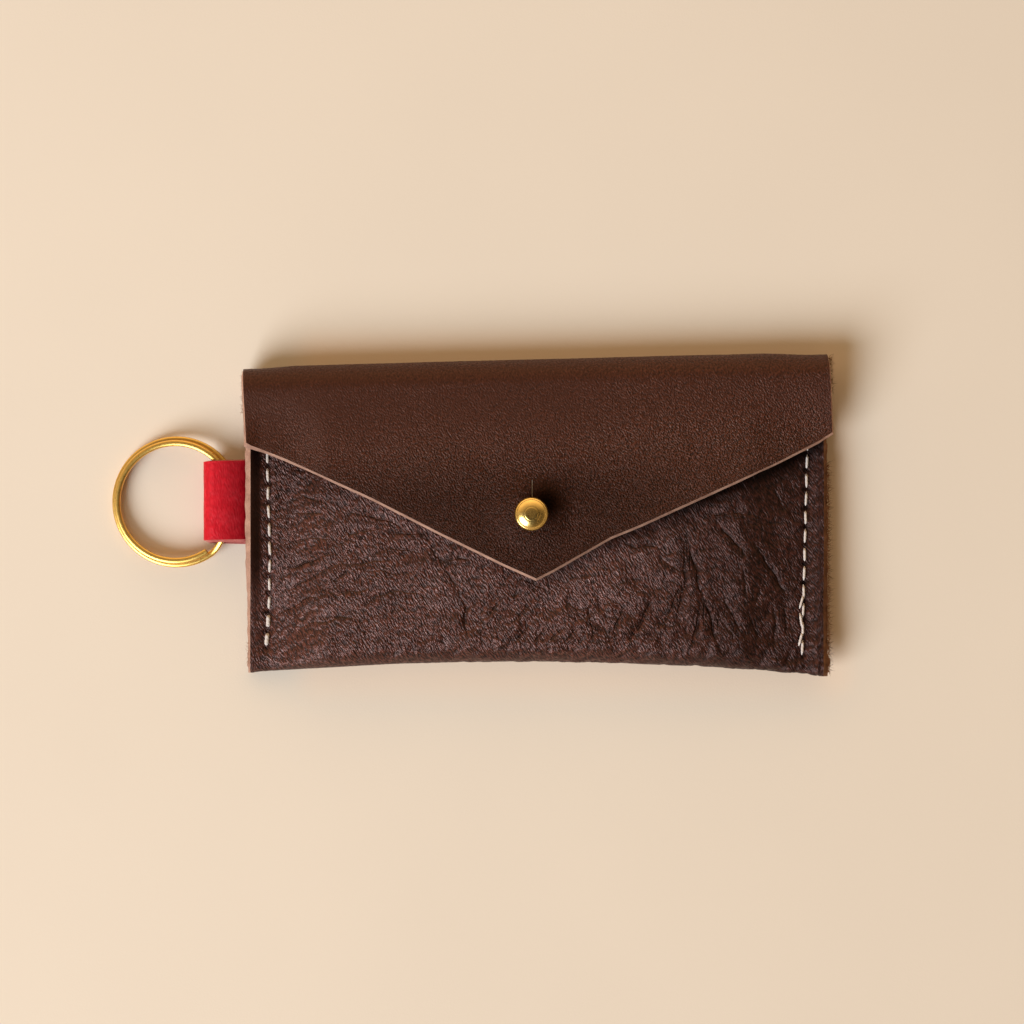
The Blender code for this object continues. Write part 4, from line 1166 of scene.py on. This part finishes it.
def makeStitchShape():
    # one stitch along Y, its two ends dipping into the leather
    piece = addShape(bpy.ops.mesh.primitive_cylinder_add, "stitchShape", vertices=stitch["sides"], radius=1,
                     depth=1, end_fill_type="NGON", location=(0, 0, 0), rotation=(radians(90), 0, 0))
    bakePlace(piece)
    sliceAlong((0, 1, 0), [i / stitch["rings"] - 0.5 for i in range(1, stitch["rings"])])
    places = pointsOf(piece)
    share = places[:, 1] + 0.5
    angle = np.arctan2(places[:, 2], places[:, 0])
    twist = angle - share * stitch["twists"] * pi
    full = smooth(share * 4) * smooth((1 - share) * 4)
    thick = stitch["width"] / 2 * (0.82 + 0.20 * abs(np.cos(1.5 * twist))) * (0.42 + 0.58 * full)
    z = thick * np.sin(angle) - stitch["dip"] * (1 - full) ** 1.5
    setPoints(piece, np.stack([thick * np.cos(angle), (share - 0.5) * stitch["length"], z], axis=1))
    return piece


def layStitches(name, side, shape, replaced):
    holes = seamHoles(side)
    copies = []
    for i, ((x0, y0), (x1, y1)) in enumerate(zip(holes, holes[1:])):
        x, y = (x0 + x1) / 2, (y0 + y1) / 2
        slope = atan2(float(frontZ(x0, y1) - frontZ(x0, y0)), y1 - y0)
        fat = 1 + 0.10 * noise.noise(Vector((i * 2.3, side, 9.0)))
        if side > 0:
            fat *= stitch["rightWidth"]
        elif i < stitch["fatCount"]:
            fat = stitch["fatWidth"]
        for upper in (True, False):
            ease = 0.06 * noise.noise(Vector((i * 1.7, side, 3.0 + upper)))
            lean = atan2(x0 - x1, y1 - y0) + (0.05 if i % 2 else -0.03) + ease
            if upper:
                height = frontZ(x, y) - 0.25 * mm + stitch["width"] * stitch["bared"]
                turn = Matrix.Rotation(lean, 4, "Z") @ Matrix.Rotation(slope, 4, "X")
            else:
                height = backZ(x, y) + 0.12 * mm - stitch["width"] * stitch["bared"]
                turn = Matrix.Rotation(-lean, 4, "Z") @ Matrix.Rotation(pi, 4, "Y")
            copy = copyOf(shape)
            copy.matrix_world = Matrix.Translation((x, y, float(height))) @ turn @ Matrix.Diagonal((fat, 1, fat, 1))
            copies.append(copy)
            if upper and side > 0 and i < stitch["doubled"]:
                double = copyOf(copy)
                shift = Matrix.Translation((-0.34 * mm, 0.5 * pouch["stitchPitch"], 0.10 * mm))
                askew = Matrix.Rotation(radians(8 if i % 2 else -11), 4, "Z")
                double.matrix_world = shift @ copy.matrix_world @ askew
                copies.append(double)
    seam = joinPieces(copies, name)
    bakePlace(seam)
    giveMaterials(seam, [creamThread])
    smoothShade(seam, 60)
    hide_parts(replaced)
    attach(seam, "pouch")


fuzz = {    # loose fibres at the cut edges: (count, mm range along X, mm range along Y, lengths in mm)
    "suedeFibres": (900, (54.6, 55.0), (-29.8, 10.0), (0.40, 1.35)),
    "topFibres": (130, (55.3, 55.7), (24.0, 30.2), (0.4, 1.2)),
    "paleFibres": (220, (-56.3, -55.6), (19.5, 27.4), (0.3, 0.8)),
    "cornerFibres": (60, (-55.4, -54.6), (-28.6, -24.0), (0.2, 0.7)),
}


def makeFibre():
    # one short bent hair, pointed at its free end, along +X
    piece = addShape(bpy.ops.mesh.primitive_cone_add, "fibreShape", vertices=4, radius1=1, radius2=0.15, depth=1,
                     end_fill_type="NGON", location=(0.5, 0, 0), rotation=(0, radians(90), 0))
    bakePlace(piece)
    sliceAlong((1, 0, 0), [0.2, 0.4, 0.6, 0.8])
    return piece


def scatterFibres(name, material, shape, start, count, spanX, spanY, lengths):
    copies = []
    for i in range(count):
        luck = [0.5 + 0.5 * sin(12.9898 * (i + 1) * (k + 1) + start * (k + 3) + 78.233 * sin(i + k))
                for k in range(6)]
        x, y = mix(*spanX, luck[1]) * mm, mix(*spanY, (i + luck[0]) / count) * mm
        length = mix(*lengths, luck[2] ** 2) * mm
        thick = mix(0.028, 0.060, luck[4]) * mm
        copy = copyOf(shape)
        places = pointsOf(copy)
        along = places[:, 0] * length
        curl = (luck[3] - 0.5) * 1.4 * along ** 2 / length
        droop = 0.3 * along ** 2 / length
        setPoints(copy, np.stack([along, places[:, 1] * thick + curl, places[:, 2] * thick - droop], axis=1))
        low, high = float(backZ(x, y)) + 0.3 * mm, float(frontZ(x, y)) + 0.2 * mm
        turn = (0 if x > 0 else pi) + (luck[5] - 0.5) * 2.2
        copy.matrix_world = (Matrix.Translation((x, y, mix(low, high, luck[3] ** 0.5)))
                             @ Matrix.Rotation(turn, 4, "Z") @ Matrix.Rotation((luck[0] - 0.7) * 0.8, 4, "Y"))
        copies.append(copy)
    piece = joinPieces(copies, name)
    bakePlace(piece)
    giveMaterials(piece, [material])
    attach(piece, "pouch")


def fibreMaterial(name, tone):
    return newMaterial(name, Roughness=0.9, Specular_IOR_Level=0.2, Base_Color=(*tone, 1))[0]


fibreShape = makeFibre()
suedeFibre = fibreMaterial("suedeFibre", (0.15, 0.054, 0.017))
paleFibre = fibreMaterial("paleFibre", (0.42, 0.25, 0.155))
for start, (name, layout) in enumerate(fuzz.items()):
    scatterFibres(name, paleFibre if layout[1][0] < 0 else suedeFibre, fibreShape, start, *layout)
bpy.data.objects.remove(fibreShape, do_unlink=True)
print("edge fibres are laid")

creamThread = threadMaterial()
stitchShape = makeStitchShape()
layStitches("leftStitches", -1, stitchShape, "left_seam_thread")
layStitches("rightStitches", 1, stitchShape, "right_seam_thread")
bpy.data.objects.remove(stitchShape, do_unlink=True)
print("stitches are laid")

bpy.context.scene.view_settings.view_transform = "Standard"
